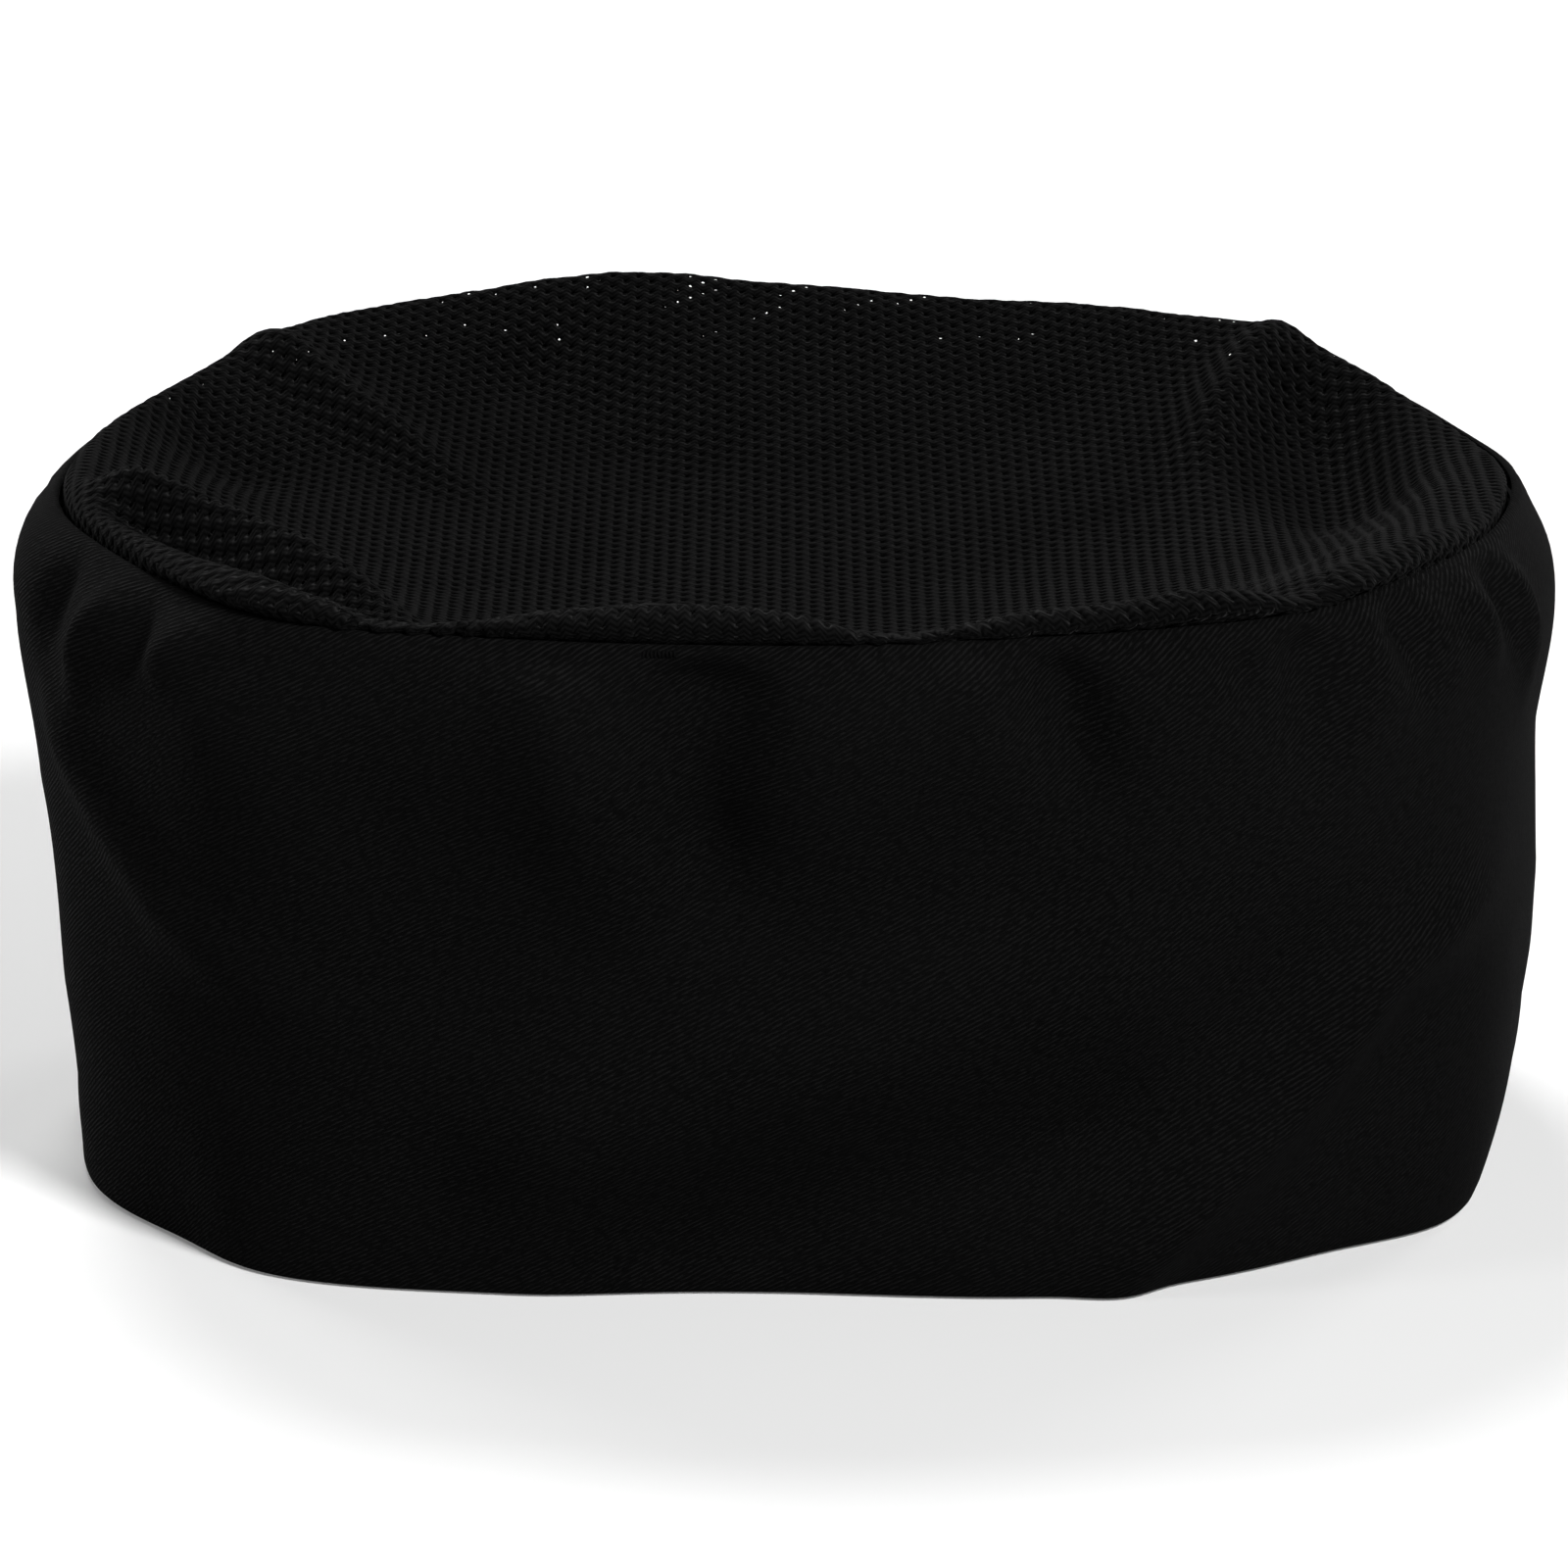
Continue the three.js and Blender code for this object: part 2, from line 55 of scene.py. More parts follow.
# ---- Sizes, as in the CAD model --------------------------------------------------------------
BAND_HEIGHT = 88.0
HEM_OUTLINE = [
    (0, -67.5), (32, -68.5), (52, -62), (69, -51), (84, -40), (89.5, -22),
    (92, 8), (86, 42), (64, 70), (32, 81), (0, 83), (-32, 81),
    (-64, 70), (-86, 42), (-92, 6), (-88, -30), (-66.5, -59), (-34, -67.5),
]
SEAM_OUTLINE = [
    (0, -83.5), (28, -80), (48, -75), (66, -66), (82, -44), (91.5, -19),
    (94.2, 8), (89, 38), (70, 65), (36, 77.5), (0, 80.3), (-34, 80.2),
    (-66, 69), (-87, 38), (-94.8, 6), (-91, -26), (-66, -68.5), (-34, -80),
]
ROLL_HEIGHT, ROLL_POWER = 5.0, 4.74
BARREL_HEIGHT, BARREL_POWER = 4.0, 0.6
HALF_WIDTH = 95.0

ARCH_HALF_WIDTH = 36.0
ARCH_STRAIGHT = 12.0
ARCH_CURVE = 30.0
STRAP_BOTTOM, STRAP_TOP = 2.0, 22.0
STRAP_HINGE = 30.0
STRAP_ROOT = 54.0
STRAP_FREE_END = 20.0
STRAP_INSET = 3.7
LOOP_STRAP_INSET = 7.1
REAR_SEAM_TURN = 0.555            # the band's own joining seam, at the middle of the back

# ---- Camera ----------------------------------------------------------------------------------
CAMERA_DISTANCE = 1.2
CAMERA_ELEVATION = math.radians(16)
CAMERA_AIM = (0.0, -0.003, 0.048)
FRAME_WIDTH = 0.2043              # how much of the aim plane the picture shows, in metres
SENSOR = 36.0


def make_camera():
    data = bpy.data.cameras.new("camera")
    data.sensor_width = SENSOR
    data.lens = SENSOR * CAMERA_DISTANCE / FRAME_WIDTH
    camera = bpy.data.objects.new("camera", data)
    bpy.context.scene.collection.objects.link(camera)
    camera.location = (
        CAMERA_AIM[0],
        CAMERA_AIM[1] - CAMERA_DISTANCE * math.cos(CAMERA_ELEVATION),
        CAMERA_AIM[2] + CAMERA_DISTANCE * math.sin(CAMERA_ELEVATION),
    )
    camera.rotation_euler = (math.pi / 2 - CAMERA_ELEVATION, 0, 0)
    bpy.context.scene.camera = camera


# ---- Curves and surfaces ---------------------------------------------------------------------
def spline(points, turn):
    """A closed Catmull-Rom curve through points: its places and directions at each turn."""
    points = np.array(points, float)
    count = len(points)
    place = np.mod(turn, 1.0) * count
    k = np.floor(place).astype(int)
    w = (place - k)[..., None]
    before, here, after, beyond = (points[(k + shift) % count] for shift in (-1, 0, 1, 2))
    leave, arrive = (after - before) / 2, (beyond - here) / 2
    place = ((2 * w**3 - 3 * w**2 + 1) * here + (w**3 - 2 * w**2 + w) * leave
             + (3 * w**2 - 2 * w**3) * after + (w**3 - w**2) * arrive)
    along = ((6 * w**2 - 6 * w) * here + (3 * w**2 - 4 * w + 1) * leave
             + (6 * w - 6 * w**2) * after + (3 * w**2 - 2 * w) * arrive)
    return place, along


def smooth_step(value, low, high):
    share = np.clip((value - low) / (high - low), 0, 1)
    return share * share * (3 - 2 * share)


def hump(value, centre, width):
    return np.exp(-((value - centre) / width) ** 2)


def distances_along(points):
    """How far along a line of points each one lies."""
    steps = np.linalg.norm(np.diff(points, axis=0), axis=1)
    return np.concatenate([[0], np.cumsum(steps)])


def level_outward(along):
    """The level direction out of the band, from the direction along it."""
    outward = np.stack([along[..., 1], -along[..., 0], 0 * along[..., 0]], -1)
    return outward / np.linalg.norm(outward, axis=-1, keepdims=True)


def ripple(x, y, seed, scale):
    """Smooth, seeded unevenness between about -1 and 1, from a few sine waves."""
    draw = np.random.default_rng(seed)
    total = np.zeros(np.broadcast(x, y).shape)
    waves = 7
    for _ in range(waves):
        angle, phase = draw.uniform(0, 2 * math.pi, 2)
        length = scale * draw.uniform(0.7, 1.6)
        total += np.sin((x * math.cos(angle) + y * math.sin(angle)) * 2 * math.pi / length + phase)
    return total / math.sqrt(waves) / 1.4


def belly(share, across):
    roll = ROLL_HEIGHT * np.sin(math.pi * share**ROLL_POWER)
    side = 0.5 + 0.5 * np.clip(across / HALF_WIDTH, -1, 1)
    return roll + BARREL_HEIGHT * side * np.sin(math.pi * share**BARREL_POWER)


# How much further out the cloth of each side stands than the stiff outline: (height, mm).
LEFT_FLANK = [(0, 0), (12, -0.3), (25, 0.9), (40, 1.2), (52, 1.3), (62, 0.4), (74, -0.7), (88, 0)]
RIGHT_FLANK = [
    (0, 0), (20, 0.4), (28, 1.1), (38, 1.3), (48, 0.5), (58, -0.4), (74, -0.3), (84, 0), (88, 0),
]
FLANK_START, FLANK_FULL = 62, 88  # distances from the middle between which a flank grows

# Soft folds of the band: the line each follows, as (distance round from the middle of the
# front, height), then how far it stands out, its half width, and for some the shares of the line
# at which it is fully grown and starts to fade. Lines that start at the seam or the hem start
# beyond it, because a fold fades in and out along its line.
BAND_FOLDS = [
    ([(-14, 98), (-12, 80), (-9, 62), (-6, 45)], -5.6, 7.5, 0.15, 0.6),
    ([(-7, 102), (-6, 84), (-4, 66)], -3.4, 5.5, 0.15, 0.55),
    ([(-27, 98), (-26, 80), (-24, 64), (-21, 44)], 4.0, 7.0, 0.3, 0.55),
    ([(-54, 98), (-52, 78), (-48, 54), (-40, 34)], -2.4, 12.0),
    ([(-34, 2), (0, 10), (30, 21), (54, 33)], -2.4, 8.0),
    ([(-48, 16), (-26, 23), (0, 32), (36, 44), (60, 56)], 5.4, 10.5),
    ([(30, -14), (41, 5), (62, 24), (76, 39), (92, 44), (112, 49)], 4.0, 5.0),
    ([(26, 14), (46, 28), (64, 44), (84, 56)], -2.2, 7.0),
    ([(34, 100), (35, 82), (38, 60)], -6.0, 5.2, 0.2, 0.5),
    ([(26, 98), (25, 82), (24, 64)], 2.0, 5.0, 0.2, 0.5),
    ([(57, 98), (57, 84), (60, 72)], -2.8, 3.0, 0.2, 0.5),
    ([(69, 100), (67, 82), (63, 62)], -5.6, 5.2, 0.2, 0.5),
    ([(83, 98), (82, 84), (85, 70)], -3.0, 3.2, 0.2, 0.5),
    ([(96, 98), (97, 86), (99, 70)], 1.7, 2.8),
    ([(102, 98), (103, 84), (106, 72)], -1.6, 2.6),
    ([(106, 98), (109, 82), (113, 64)], 1.8, 2.8),
    ([(-88, 100), (-93, 87), (-98, 77), (-104, 66)], 2.6, 3.0),
    ([(-86, 98), (-86, 84), (-85, 74)], -2.0, 3.2),
    ([(-72, 98), (-76, 86), (-82, 76)], 2.3, 3.0),
    ([(-66, 98), (-68, 86), (-70, 76)], -1.2, 3.4),
    ([(-106, 98), (-108, 84), (-112, 70)], -2.4, 4.0),
    ([(-118, 68), (-104, 62), (-83, 47), (-65, 40), (-46, 34)], 2.4, 6.0),
    ([(-64, 84), (-62, 60), (-58, 34)], 1.4, 14.0),
    ([(146, -8), (156, 36), (170, 74)], 1.7, 9.0),
    ([(-150, -8), (-166, 40), (-184, 76)], 1.7, 9.0),
    ([(150, 98), (148, 84), (146, 72)], -1.5, 3.2),
    ([(-152, 98), (-151, 84), (-149, 74)], -1.5, 3.2),
    ([(204, 98), (206, 84), (209, 68)], -1.5, 3.6),
    ([(-206, 98), (-208, 84), (-212, 70)], -1.5, 3.6),
    ([(262, 8), (244, 26), (226, 36), (212, 42)], 1.5, 5.5),
    ([(-262, 8), (-246, 26), (-228, 34), (-214, 38)], 1.5, 5.5),
    ([(276, 44), (273, 58), (268, 76)], 1.4, 5.0),
    ([(-274, 44), (-270, 58), (-264, 78)], 1.4, 5.0),
]
BROAD_WAVES, FINE_WAVES = 0.4, 0.14   # height of the unevenness all over the band
LEFT_DENT = 2.0                   # depth of the dent low down at the left front
REAR_SEAM_DENT = 0.5              # how far the band's own joining seam is drawn in
FOLD_FREE_HEIGHT = 5.5            # folds fade out over this height below the crown seam
SEAM_PINCH = 0.9                  # how far the crown seam draws the top of the band in
SEAM_PINCH_HEIGHT = 2.4           # and how far below the seam the band has recovered
SEAM_DIP = 2.2                    # how far the crown seam sags at the right rear
SEAM_DIP_PLACE, SEAM_DIP_SIZE = (92, 34), (9, 22)


def fold_height(x, y, points, rise, width, grown=0.25, fades=0.6):
    """A ridge or trough along a line of points.

    It reaches its full height at the share grown of the line, and starts to fade at fades.
    """
    points = np.array(points, float)
    best = np.full(np.shape(x), 1e9)
    strength = np.zeros(np.shape(x))
    spans = len(points) - 1
    for k in range(spans):
        start, end = points[k], points[k + 1]
        along = end - start
        share = ((x - start[0]) * along[0] + (y - start[1]) * along[1]) / (along @ along)
        share = np.clip(share, 0, 1)
        gap = np.hypot(x - start[0] - share * along[0], y - start[1] - share * along[1])
        place = (k + share) / spans
        closer = gap < best
        best = np.where(closer, gap, best)
        fade = smooth_step(place, 0, grown) * smooth_step(-place, -1.0, -fades)
        strength = np.where(closer, fade, strength)
    return rise * strength * np.exp(-(best / width) ** 2)


def round_table():
    """Turns from one side of the rear join to the other, and how far round each lies."""
    turns = np.linspace(REAR_SEAM_TURN - 1, REAR_SEAM_TURN, 2001)
    points = spline(HEM_OUTLINE, turns)[0] * 0.32 + spline(SEAM_OUTLINE, turns)[0] * 0.68
    run = distances_along(points)
    return turns, run - np.interp(0, turns, run)


ROUND_TURNS, ROUND_DISTANCES = round_table()
ROUND_TURNS_LENGTH = 560.0        # about how far round one whole turn is


def distance_round(turn):
    """How far round from the middle of the front a turn lies, less than half way each side."""
    shifted = np.mod(turn - REAR_SEAM_TURN, 1.0) + REAR_SEAM_TURN - 1
    return np.interp(shifted, ROUND_TURNS, ROUND_DISTANCES)


def band_folds(turn, x, y, height):
    """How far the cloth of the band stands out or in because it is soft."""
    total = BROAD_WAVES * ripple(x + 0.6 * y, height, 11, 62)
    total = total + FINE_WAVES * ripple(x - y, height, 12, 24)
    total = total * smooth_step(height, 0, 12)
    left = np.interp(height, *zip(*LEFT_FLANK))
    right = np.interp(height, *zip(*RIGHT_FLANK))
    total = total + np.where(x < 0, left, right) * smooth_step(np.abs(x), FLANK_START, FLANK_FULL)
    total = total - LEFT_DENT * hump(x, -79, 8) * smooth_step(-height, -26, -4) * (y < 0)
    total = total - REAR_SEAM_DENT * hump(x, 0, 0.7) * (y > 0)
    around = distance_round(turn)
    for fold in BAND_FOLDS:
        total = total + fold_height(around, height, *fold)
    total = total * smooth_step(-height, -BAND_HEIGHT - 0.3, -BAND_HEIGHT + FOLD_FREE_HEIGHT)
    pinch = SEAM_PINCH * (1 - 2 * smooth_step(x, 74, 92))
    return total - pinch * hump(height, BAND_HEIGHT, SEAM_PINCH_HEIGHT)


def seam_dip(x, y):
    """How far the crown seam sags at the right rear."""
    across = hump(x, SEAM_DIP_PLACE[0], SEAM_DIP_SIZE[0])
    return SEAM_DIP * across * hump(y, SEAM_DIP_PLACE[1], SEAM_DIP_SIZE[1])


def wall(turn, height, inset=0.0, soft=True):
    """A point of the band's wall. turn is 0..1 round the cap, inset is depth in from outside."""
    turn, height, inset = np.broadcast_arrays(
        np.asarray(turn, float), np.asarray(height, float), np.asarray(inset, float))
    share = np.clip(height / BAND_HEIGHT, 0, 1)
    hem, hem_along = spline(HEM_OUTLINE, turn)
    seam, seam_along = spline(SEAM_OUTLINE, turn)
    point = hem + (seam - hem) * share[..., None]
    along = hem_along + (seam_along - hem_along) * share[..., None]
    outward = level_outward(along)[..., :2]
    stand = belly(share, point[..., 0]) - inset
    if soft:
        stand = stand + band_folds(turn, point[..., 0], point[..., 1], height)
    point = point + outward * stand[..., None]
    dip = seam_dip(point[..., 0], point[..., 1]) * smooth_step(height, 50, BAND_HEIGHT)
    return np.concatenate([point, (height - dip)[..., None]], -1)


def rear_turn(x, height, inset=0.0):
    """The turn at which the back of the band passes a given x, by a few Newton steps."""
    x, height, inset = np.broadcast_arrays(
        np.asarray(x, float), np.asarray(height, float), np.asarray(inset, float))
    coarse = np.linspace(0.36, 0.74, 96)
    guide = wall(coarse, 20.0, soft=False)[:, 0]
    turn = np.interp(-x, -guide, coarse)
    nudge = 0.0008
    for _ in range(4):
        here = wall(turn, height, inset, soft=False)[..., 0]
        slope = (wall(turn + nudge, height, inset, soft=False)[..., 0] - here) / nudge
        turn = np.clip(turn - (here - x) / np.minimum(slope, -100), 0.36, 0.74)
    return turn


def rear_wall(x, height, inset=0.0):
    return wall(rear_turn(x, height, inset), height, inset)


def even_turns(start, end, step, height=44.0):
    """Turns from start to end, evenly spaced along the band at a height, and their distances."""
    fine = np.linspace(start, end, 4001)
    run = distances_along(wall(fine, height))
    count = max(2, int(round(run[-1] / step)))
    distances = np.linspace(0, run[-1], count + 1)
    return np.interp(distances, run, fine), distances


# ---- Meshes ----------------------------------------------------------------------------------
def link(obj):
    bpy.context.scene.collection.objects.link(obj)
    return obj


def make_object(name, vertices, faces, uv=None, sharp=50):
    """An object from millimetre vertices. uv gives each vertex its place on the flat cloth."""
    mesh = bpy.data.meshes.new(name)
    mesh.from_pydata((np.asarray(vertices) * MM).tolist(), [], [list(f) for f in faces])
    if uv is not None:
        layer = mesh.uv_layers.new(name="flat")
        corners = np.empty(len(mesh.loops), dtype=np.int32)
        mesh.loops.foreach_get("vertex_index", corners)
        layer.data.foreach_set("uv", (np.asarray(uv)[corners] * MM).ravel().astype(np.float32))
    mesh.polygons.foreach_set("use_smooth", np.ones(len(mesh.polygons), dtype=bool))
    mesh.set_sharp_from_angle(angle=math.radians(sharp))
    mesh.update()
    return link(bpy.data.objects.new(name, mesh))


def grid_normals(grid):
    along = np.gradient(grid, axis=0)
    across = np.gradient(grid, axis=1)
    normal = np.cross(along, across)
    return normal / np.maximum(np.linalg.norm(normal, axis=-1, keepdims=True), 1e-9)


def grid_faces(rows, columns, keep=None):
    i, j = np.meshgrid(np.arange(rows - 1), np.arange(columns - 1), indexing="ij")
    corner = i * columns + j
    faces = np.stack([corner, corner + columns, corner + columns + 1, corner + 1], -1)
    if keep is not None:
        return faces[keep]
    return faces.reshape(-1, 4)


def edge_walls(start, end, offset):
    """Faces between a sheet's two sides, where an edge has no other that runs back along it."""
    used = set(zip(start.tolist(), end.tolist()))
    rim = sorted((a, b) for a, b in used if (b, a) not in used)
    return [(b, a, a + offset, b + offset) for a, b in rim]


def thick_faces(faces, offset):
    """Faces of both sides of a sheet, and of its edges. The far side's vertices follow offset."""
    walls = edge_walls(faces.ravel(), np.roll(faces, -1, axis=1).ravel(), offset)
    return faces.tolist() + (faces[:, ::-1] + offset).tolist() + walls


def cloth(name, grid, thickness, uv, keep=None):
    """A sheet of cloth: the grid is its outer face, and it has thickness behind that."""
    rows, columns = grid.shape[:2]
    back = grid - grid_normals(grid) * thickness
    vertices = np.concatenate([grid.reshape(-1, 3), back.reshape(-1, 3)])
    faces = thick_faces(grid_faces(rows, columns, keep), rows * columns)
    flat = np.concatenate([uv.reshape(-1, 2)] * 2)
    obj = make_object(name, vertices, faces, flat)
    drop_loose(obj.data)
    return obj


def drop_loose(mesh):
    work = bmesh.new()
    work.from_mesh(mesh)
    loose = [v for v in work.verts if not v.link_faces]
    bmesh.ops.delete(work, geom=loose, context="VERTS")
    work.to_mesh(mesh)
    work.free()


def flat_places(distances, heights):
    u, v = np.meshgrid(distances, heights, indexing="ij")
    return np.stack([u, v], -1)


def add_capsule(vertices, faces, centre, normal, radius, sides=6):
    """A short thread along centre points, its ends dipping in against normal."""
    rings = len(centre)
    along = np.gradient(centre, axis=0)
    along /= np.linalg.norm(along, axis=1, keepdims=True)
    side = np.cross(along, normal)
    side /= np.linalg.norm(side, axis=1, keepdims=True)
    share = np.linspace(-1, 1, rings)
    size = radius * np.sqrt(np.clip(1 - share**6, 0.08, 1))
    centre = centre - normal * (radius * 1.1 * share**4)[:, None]
    base = len(vertices)
    for ring in range(rings):
        for turn in range(sides):
            angle = 2 * math.pi * turn / sides
            spoke = math.cos(angle) * side[ring] + math.sin(angle) * normal[ring]
            vertices.append(centre[ring] + size[ring] * spoke)
    for ring in range(rings - 1):
        for turn in range(sides):
            a = base + ring * sides + turn
            b = base + ring * sides + (turn + 1) % sides
            faces.append((a, b, b + sides, a + sides))
    faces.append(tuple(base + turn for turn in reversed(range(sides))))
    faces.append(tuple(base + (rings - 1) * sides + turn for turn in range(sides)))


def thread_run(name, path, normals, stitch, gap, radius):
    """Stitches along a path: small capsules that dip into the cloth at both ends."""
    path, normals = np.asarray(path, float), np.asarray(normals, float)
    run = distances_along(path)
    count = int(run[-1] // (stitch + gap))
    pitch = run[-1] / count
    rings = 7
    vertices, faces = [], []
    for k in range(count):
        places = np.linspace(k * pitch + gap / 2, (k + 1) * pitch - gap / 2, rings)
        centre = np.stack([np.interp(places, run, path[:, a]) for a in range(3)], -1)
        normal = np.stack([np.interp(places, run, normals[:, a]) for a in range(3)], -1)
        normal /= np.linalg.norm(normal, axis=1, keepdims=True)
        add_capsule(vertices, faces, centre, normal, radius)
    return make_object(name, vertices, faces, sharp=80)


# ---- Materials -------------------------------------------------------------------------------
class Nodes:
    """A material's node tree, with short ways to add maths and textures."""

    def __init__(self, name, color, roughness, specular=0.5, sheen=0.0):
        self.material = bpy.data.materials.new(name)
        self.material.use_nodes = True
        self.tree = self.material.node_tree
        self.shader = self.tree.nodes["Principled BSDF"]
        self.shader.inputs["Base Color"].default_value = (*color, 1)
        self.shader.inputs["Roughness"].default_value = roughness
        self.shader.inputs["Specular IOR Level"].default_value = specular
        self.shader.inputs["Sheen Weight"].default_value = sheen
        self.shader.inputs["Sheen Roughness"].default_value = 0.5
        self.color = color

    def add(self, kind, **settings):
        node = self.tree.nodes.new(kind)
        for key, value in settings.items():
            setattr(node, key, value)
        return node

    def join(self, source, target):
        self.tree.links.new(source, target)

    def maths(self, operation, *values):
        node = self.add("ShaderNodeMath", operation=operation)
        for slot, value in zip(node.inputs, values):
            if isinstance(value, (int, float)):
                slot.default_value = value
            else:
                self.join(value, slot)
        return node.outputs[0]

    def flat(self):
        """The cloth's own coordinates in metres, as separate outputs."""
        place = self.add("ShaderNodeTexCoord")
        split = self.add("ShaderNodeSeparateXYZ")
        self.join(place.outputs["UV"], split.inputs[0])
        return split.outputs[0], split.outputs[1]

    def noise(self, scale, detail):
        """Noise over the object's own coordinates."""
        place = self.add("ShaderNodeTexCoord")
        node = self.add("ShaderNodeTexNoise")
        node.inputs["Scale"].default_value = scale
        node.inputs["Detail"].default_value = detail
        self.join(place.outputs["Object"], node.inputs["Vector"])
        return node.outputs["Fac"]

    def waves(self, u, v, angle, pitch):
        """A sine ridge pattern, 0 to 1, whose lines lie at an angle to the cloth's length."""
        across = self.maths("SUBTRACT", self.maths("MULTIPLY", v, math.cos(angle)),
                            self.maths("MULTIPLY", u, math.sin(angle)))
        wave = self.maths("SINE", self.maths("MULTIPLY", across, 2 * math.pi / pitch))
        return self.maths("MULTIPLY_ADD", wave, 0.5, 0.5)

    def streaks(self, u, v, angle, along_scale, across_scale):
        """Noise drawn out along a direction of the cloth."""
        along = self.maths("ADD", self.maths("MULTIPLY", u, math.cos(angle) * along_scale),
                           self.maths("MULTIPLY", v, math.sin(angle) * along_scale))
        across = self.maths("SUBTRACT", self.maths("MULTIPLY", v, math.cos(angle) * across_scale),
                            self.maths("MULTIPLY", u, math.sin(angle) * across_scale))
        place = self.add("ShaderNodeCombineXYZ")
        self.join(along, place.inputs[0])
        self.join(across, place.inputs[1])
        node = self.add("ShaderNodeTexNoise")
        node.inputs["Scale"].default_value = 1.0
        node.inputs["Detail"].default_value = 1.0
        self.join(place.outputs[0], node.inputs["Vector"])
        return node.outputs["Fac"]

    def stretch(self, value, low, high):
        """Spreads the values between low and high out to 0..1."""
        node = self.add("ShaderNodeMapRange")
        node.inputs["From Min"].default_value = low
        node.inputs["From Max"].default_value = high
        self.join(value, node.inputs["Value"])
        return node.outputs["Result"]

    def tint(self, factor, low, high):
        """Scales the base colour between low and high times itself."""
        ramp = self.add("ShaderNodeMix", data_type="RGBA")
        self.join(factor, ramp.inputs["Factor"])
        ramp.inputs["A"].default_value = (*(channel * low for channel in self.color), 1)
        ramp.inputs["B"].default_value = (*(channel * high for channel in self.color), 1)
        self.join(ramp.outputs["Result"], self.shader.inputs["Base Color"])

    def rough(self, factor, low, high):
        self.join(self.maths("MULTIPLY_ADD", factor, high - low, low), self.shader.inputs["Roughness"])

    def bump(self, height, distance, strength=1.0):
        node = self.add("ShaderNodeBump")
        node.inputs["Strength"].default_value = strength
        node.inputs["Distance"].default_value = distance
        self.join(height, node.inputs["Height"])
        self.join(node.outputs["Normal"], self.shader.inputs["Normal"])


TWILL_ANGLE = math.radians(29)
TWILL_PITCH = 0.54 * MM


def twill_material():
    """Diagonal ribs, each broken into short floats of yarn, with a little wear and unevenness."""
    nodes = Nodes("band_twill", (0.0016, 0.0016, 0.00161), 0.8, specular=0.004, sheen=0.002)
    u, v = nodes.flat()
    rib = nodes.maths("POWER", nodes.waves(u, v, TWILL_ANGLE, TWILL_PITCH), 1.6)
    floats = nodes.stretch(nodes.streaks(u, v, TWILL_ANGLE, 800, 3600), 0.38, 0.62)
    fuzz = nodes.noise(5200, 3)
    weave = nodes.maths("MULTIPLY", rib, nodes.maths("MULTIPLY_ADD", floats, 1.5, 0.1))
    height = nodes.maths("MULTIPLY_ADD", fuzz, 0.35, weave)
    # Painted highlight and shade: the base colour is made lighter on the raised ribs and floats and
    # darker in the grooves between them, over a cloudy tone that varies at random.
    cloudy = nodes.noise(38, 4)
    tone_and_painted_highlight = nodes.maths("MULTIPLY_ADD", cloudy, 0.25, nodes.maths("MULTIPLY", height, 0.75))
    nodes.tint(tone_and_painted_highlight, 0.12, 2.6)
    nodes.rough(height, 0.9, 0.75)
    nodes.bump(height, 0.00014, 0.9)
    return nodes.material


def net_material():
    """Knitted yarn: chains of slanting stitches that mirror each other along each rib of the net."""
    nodes = Nodes("crown_mesh", (0.00085, 0.00085, 0.00086), 0.8, specular=0.004)
    u, v = nodes.flat()
    chain = nodes.maths("PINGPONG", u, HOLE_COLUMN * MM / 2)
    stitches = nodes.waves(chain, v, math.radians(34), 0.52 * MM)
    fuzz = nodes.noise(4200, 4)
    broad = nodes.noise(60, 3)
    yarn = nodes.maths("MULTIPLY_ADD", fuzz, 0.35, nodes.maths("MULTIPLY", stitches, 0.65))
    # Painted highlight: the base colour is made lighter on the raised stitches and darker between them,
    # over a broad tone that varies at random.
    tone_and_painted_highlight = nodes.maths("MULTIPLY_ADD", broad, 0.25, nodes.maths("MULTIPLY", yarn, 0.9))
    nodes.tint(tone_and_painted_highlight, 0.05, 2.6)
    # The fuzz on the yarn catches the light, so it follows the stitches as well.
    nodes.join(nodes.maths("MULTIPLY", tone_and_painted_highlight, 0.0138), nodes.shader.inputs["Sheen Weight"])
    nodes.bump(yarn, 0.0001, 0.8)
    return nodes.material


def weave_material(name, color, pitch, roughness=0.85):
    """Plain weave: two sets of yarns that cross at right angles."""
    nodes = Nodes(name, color, roughness, specular=0.06)
    u, v = nodes.flat()
    warp = nodes.waves(u, v, math.radians(90), pitch)
    weft = nodes.waves(u, v, 0.0, pitch)
    height = nodes.maths("MAXIMUM", warp, weft)
    fuzz = nodes.noise(2600, 3)
    height = nodes.maths("MULTIPLY_ADD", fuzz, 0.4, height)
    # Painted highlight and shade: the base colour is lighter where a yarn is raised and darker in the
    # gaps between the yarns.
    nodes.tint(height, 0.5, 1.25)
    nodes.bump(height, 0.00006, 0.7)
    return nodes.material


def pile_material(name, color, scale, depth, roughness=0.95, sheen=0.08):
    """Loops or felt: rounded lumps of fibre."""
    nodes = Nodes(name, color, roughness, specular=0.04, sheen=sheen)
    place = nodes.add("ShaderNodeTexCoord")
    cells = nodes.add("ShaderNodeTexVoronoi")
    cells.inputs["Scale"].default_value = scale
    nodes.join(place.outputs["Object"], cells.inputs["Vector"])
    fuzz = nodes.noise(scale * 3, 4)
    height = nodes.maths("SUBTRACT", fuzz, nodes.maths("MULTIPLY", cells.outputs["Distance"], 0.8))
    nodes.tint(fuzz, 0.5, 1.5)
    nodes.bump(height, depth, 0.9)
    return nodes.material


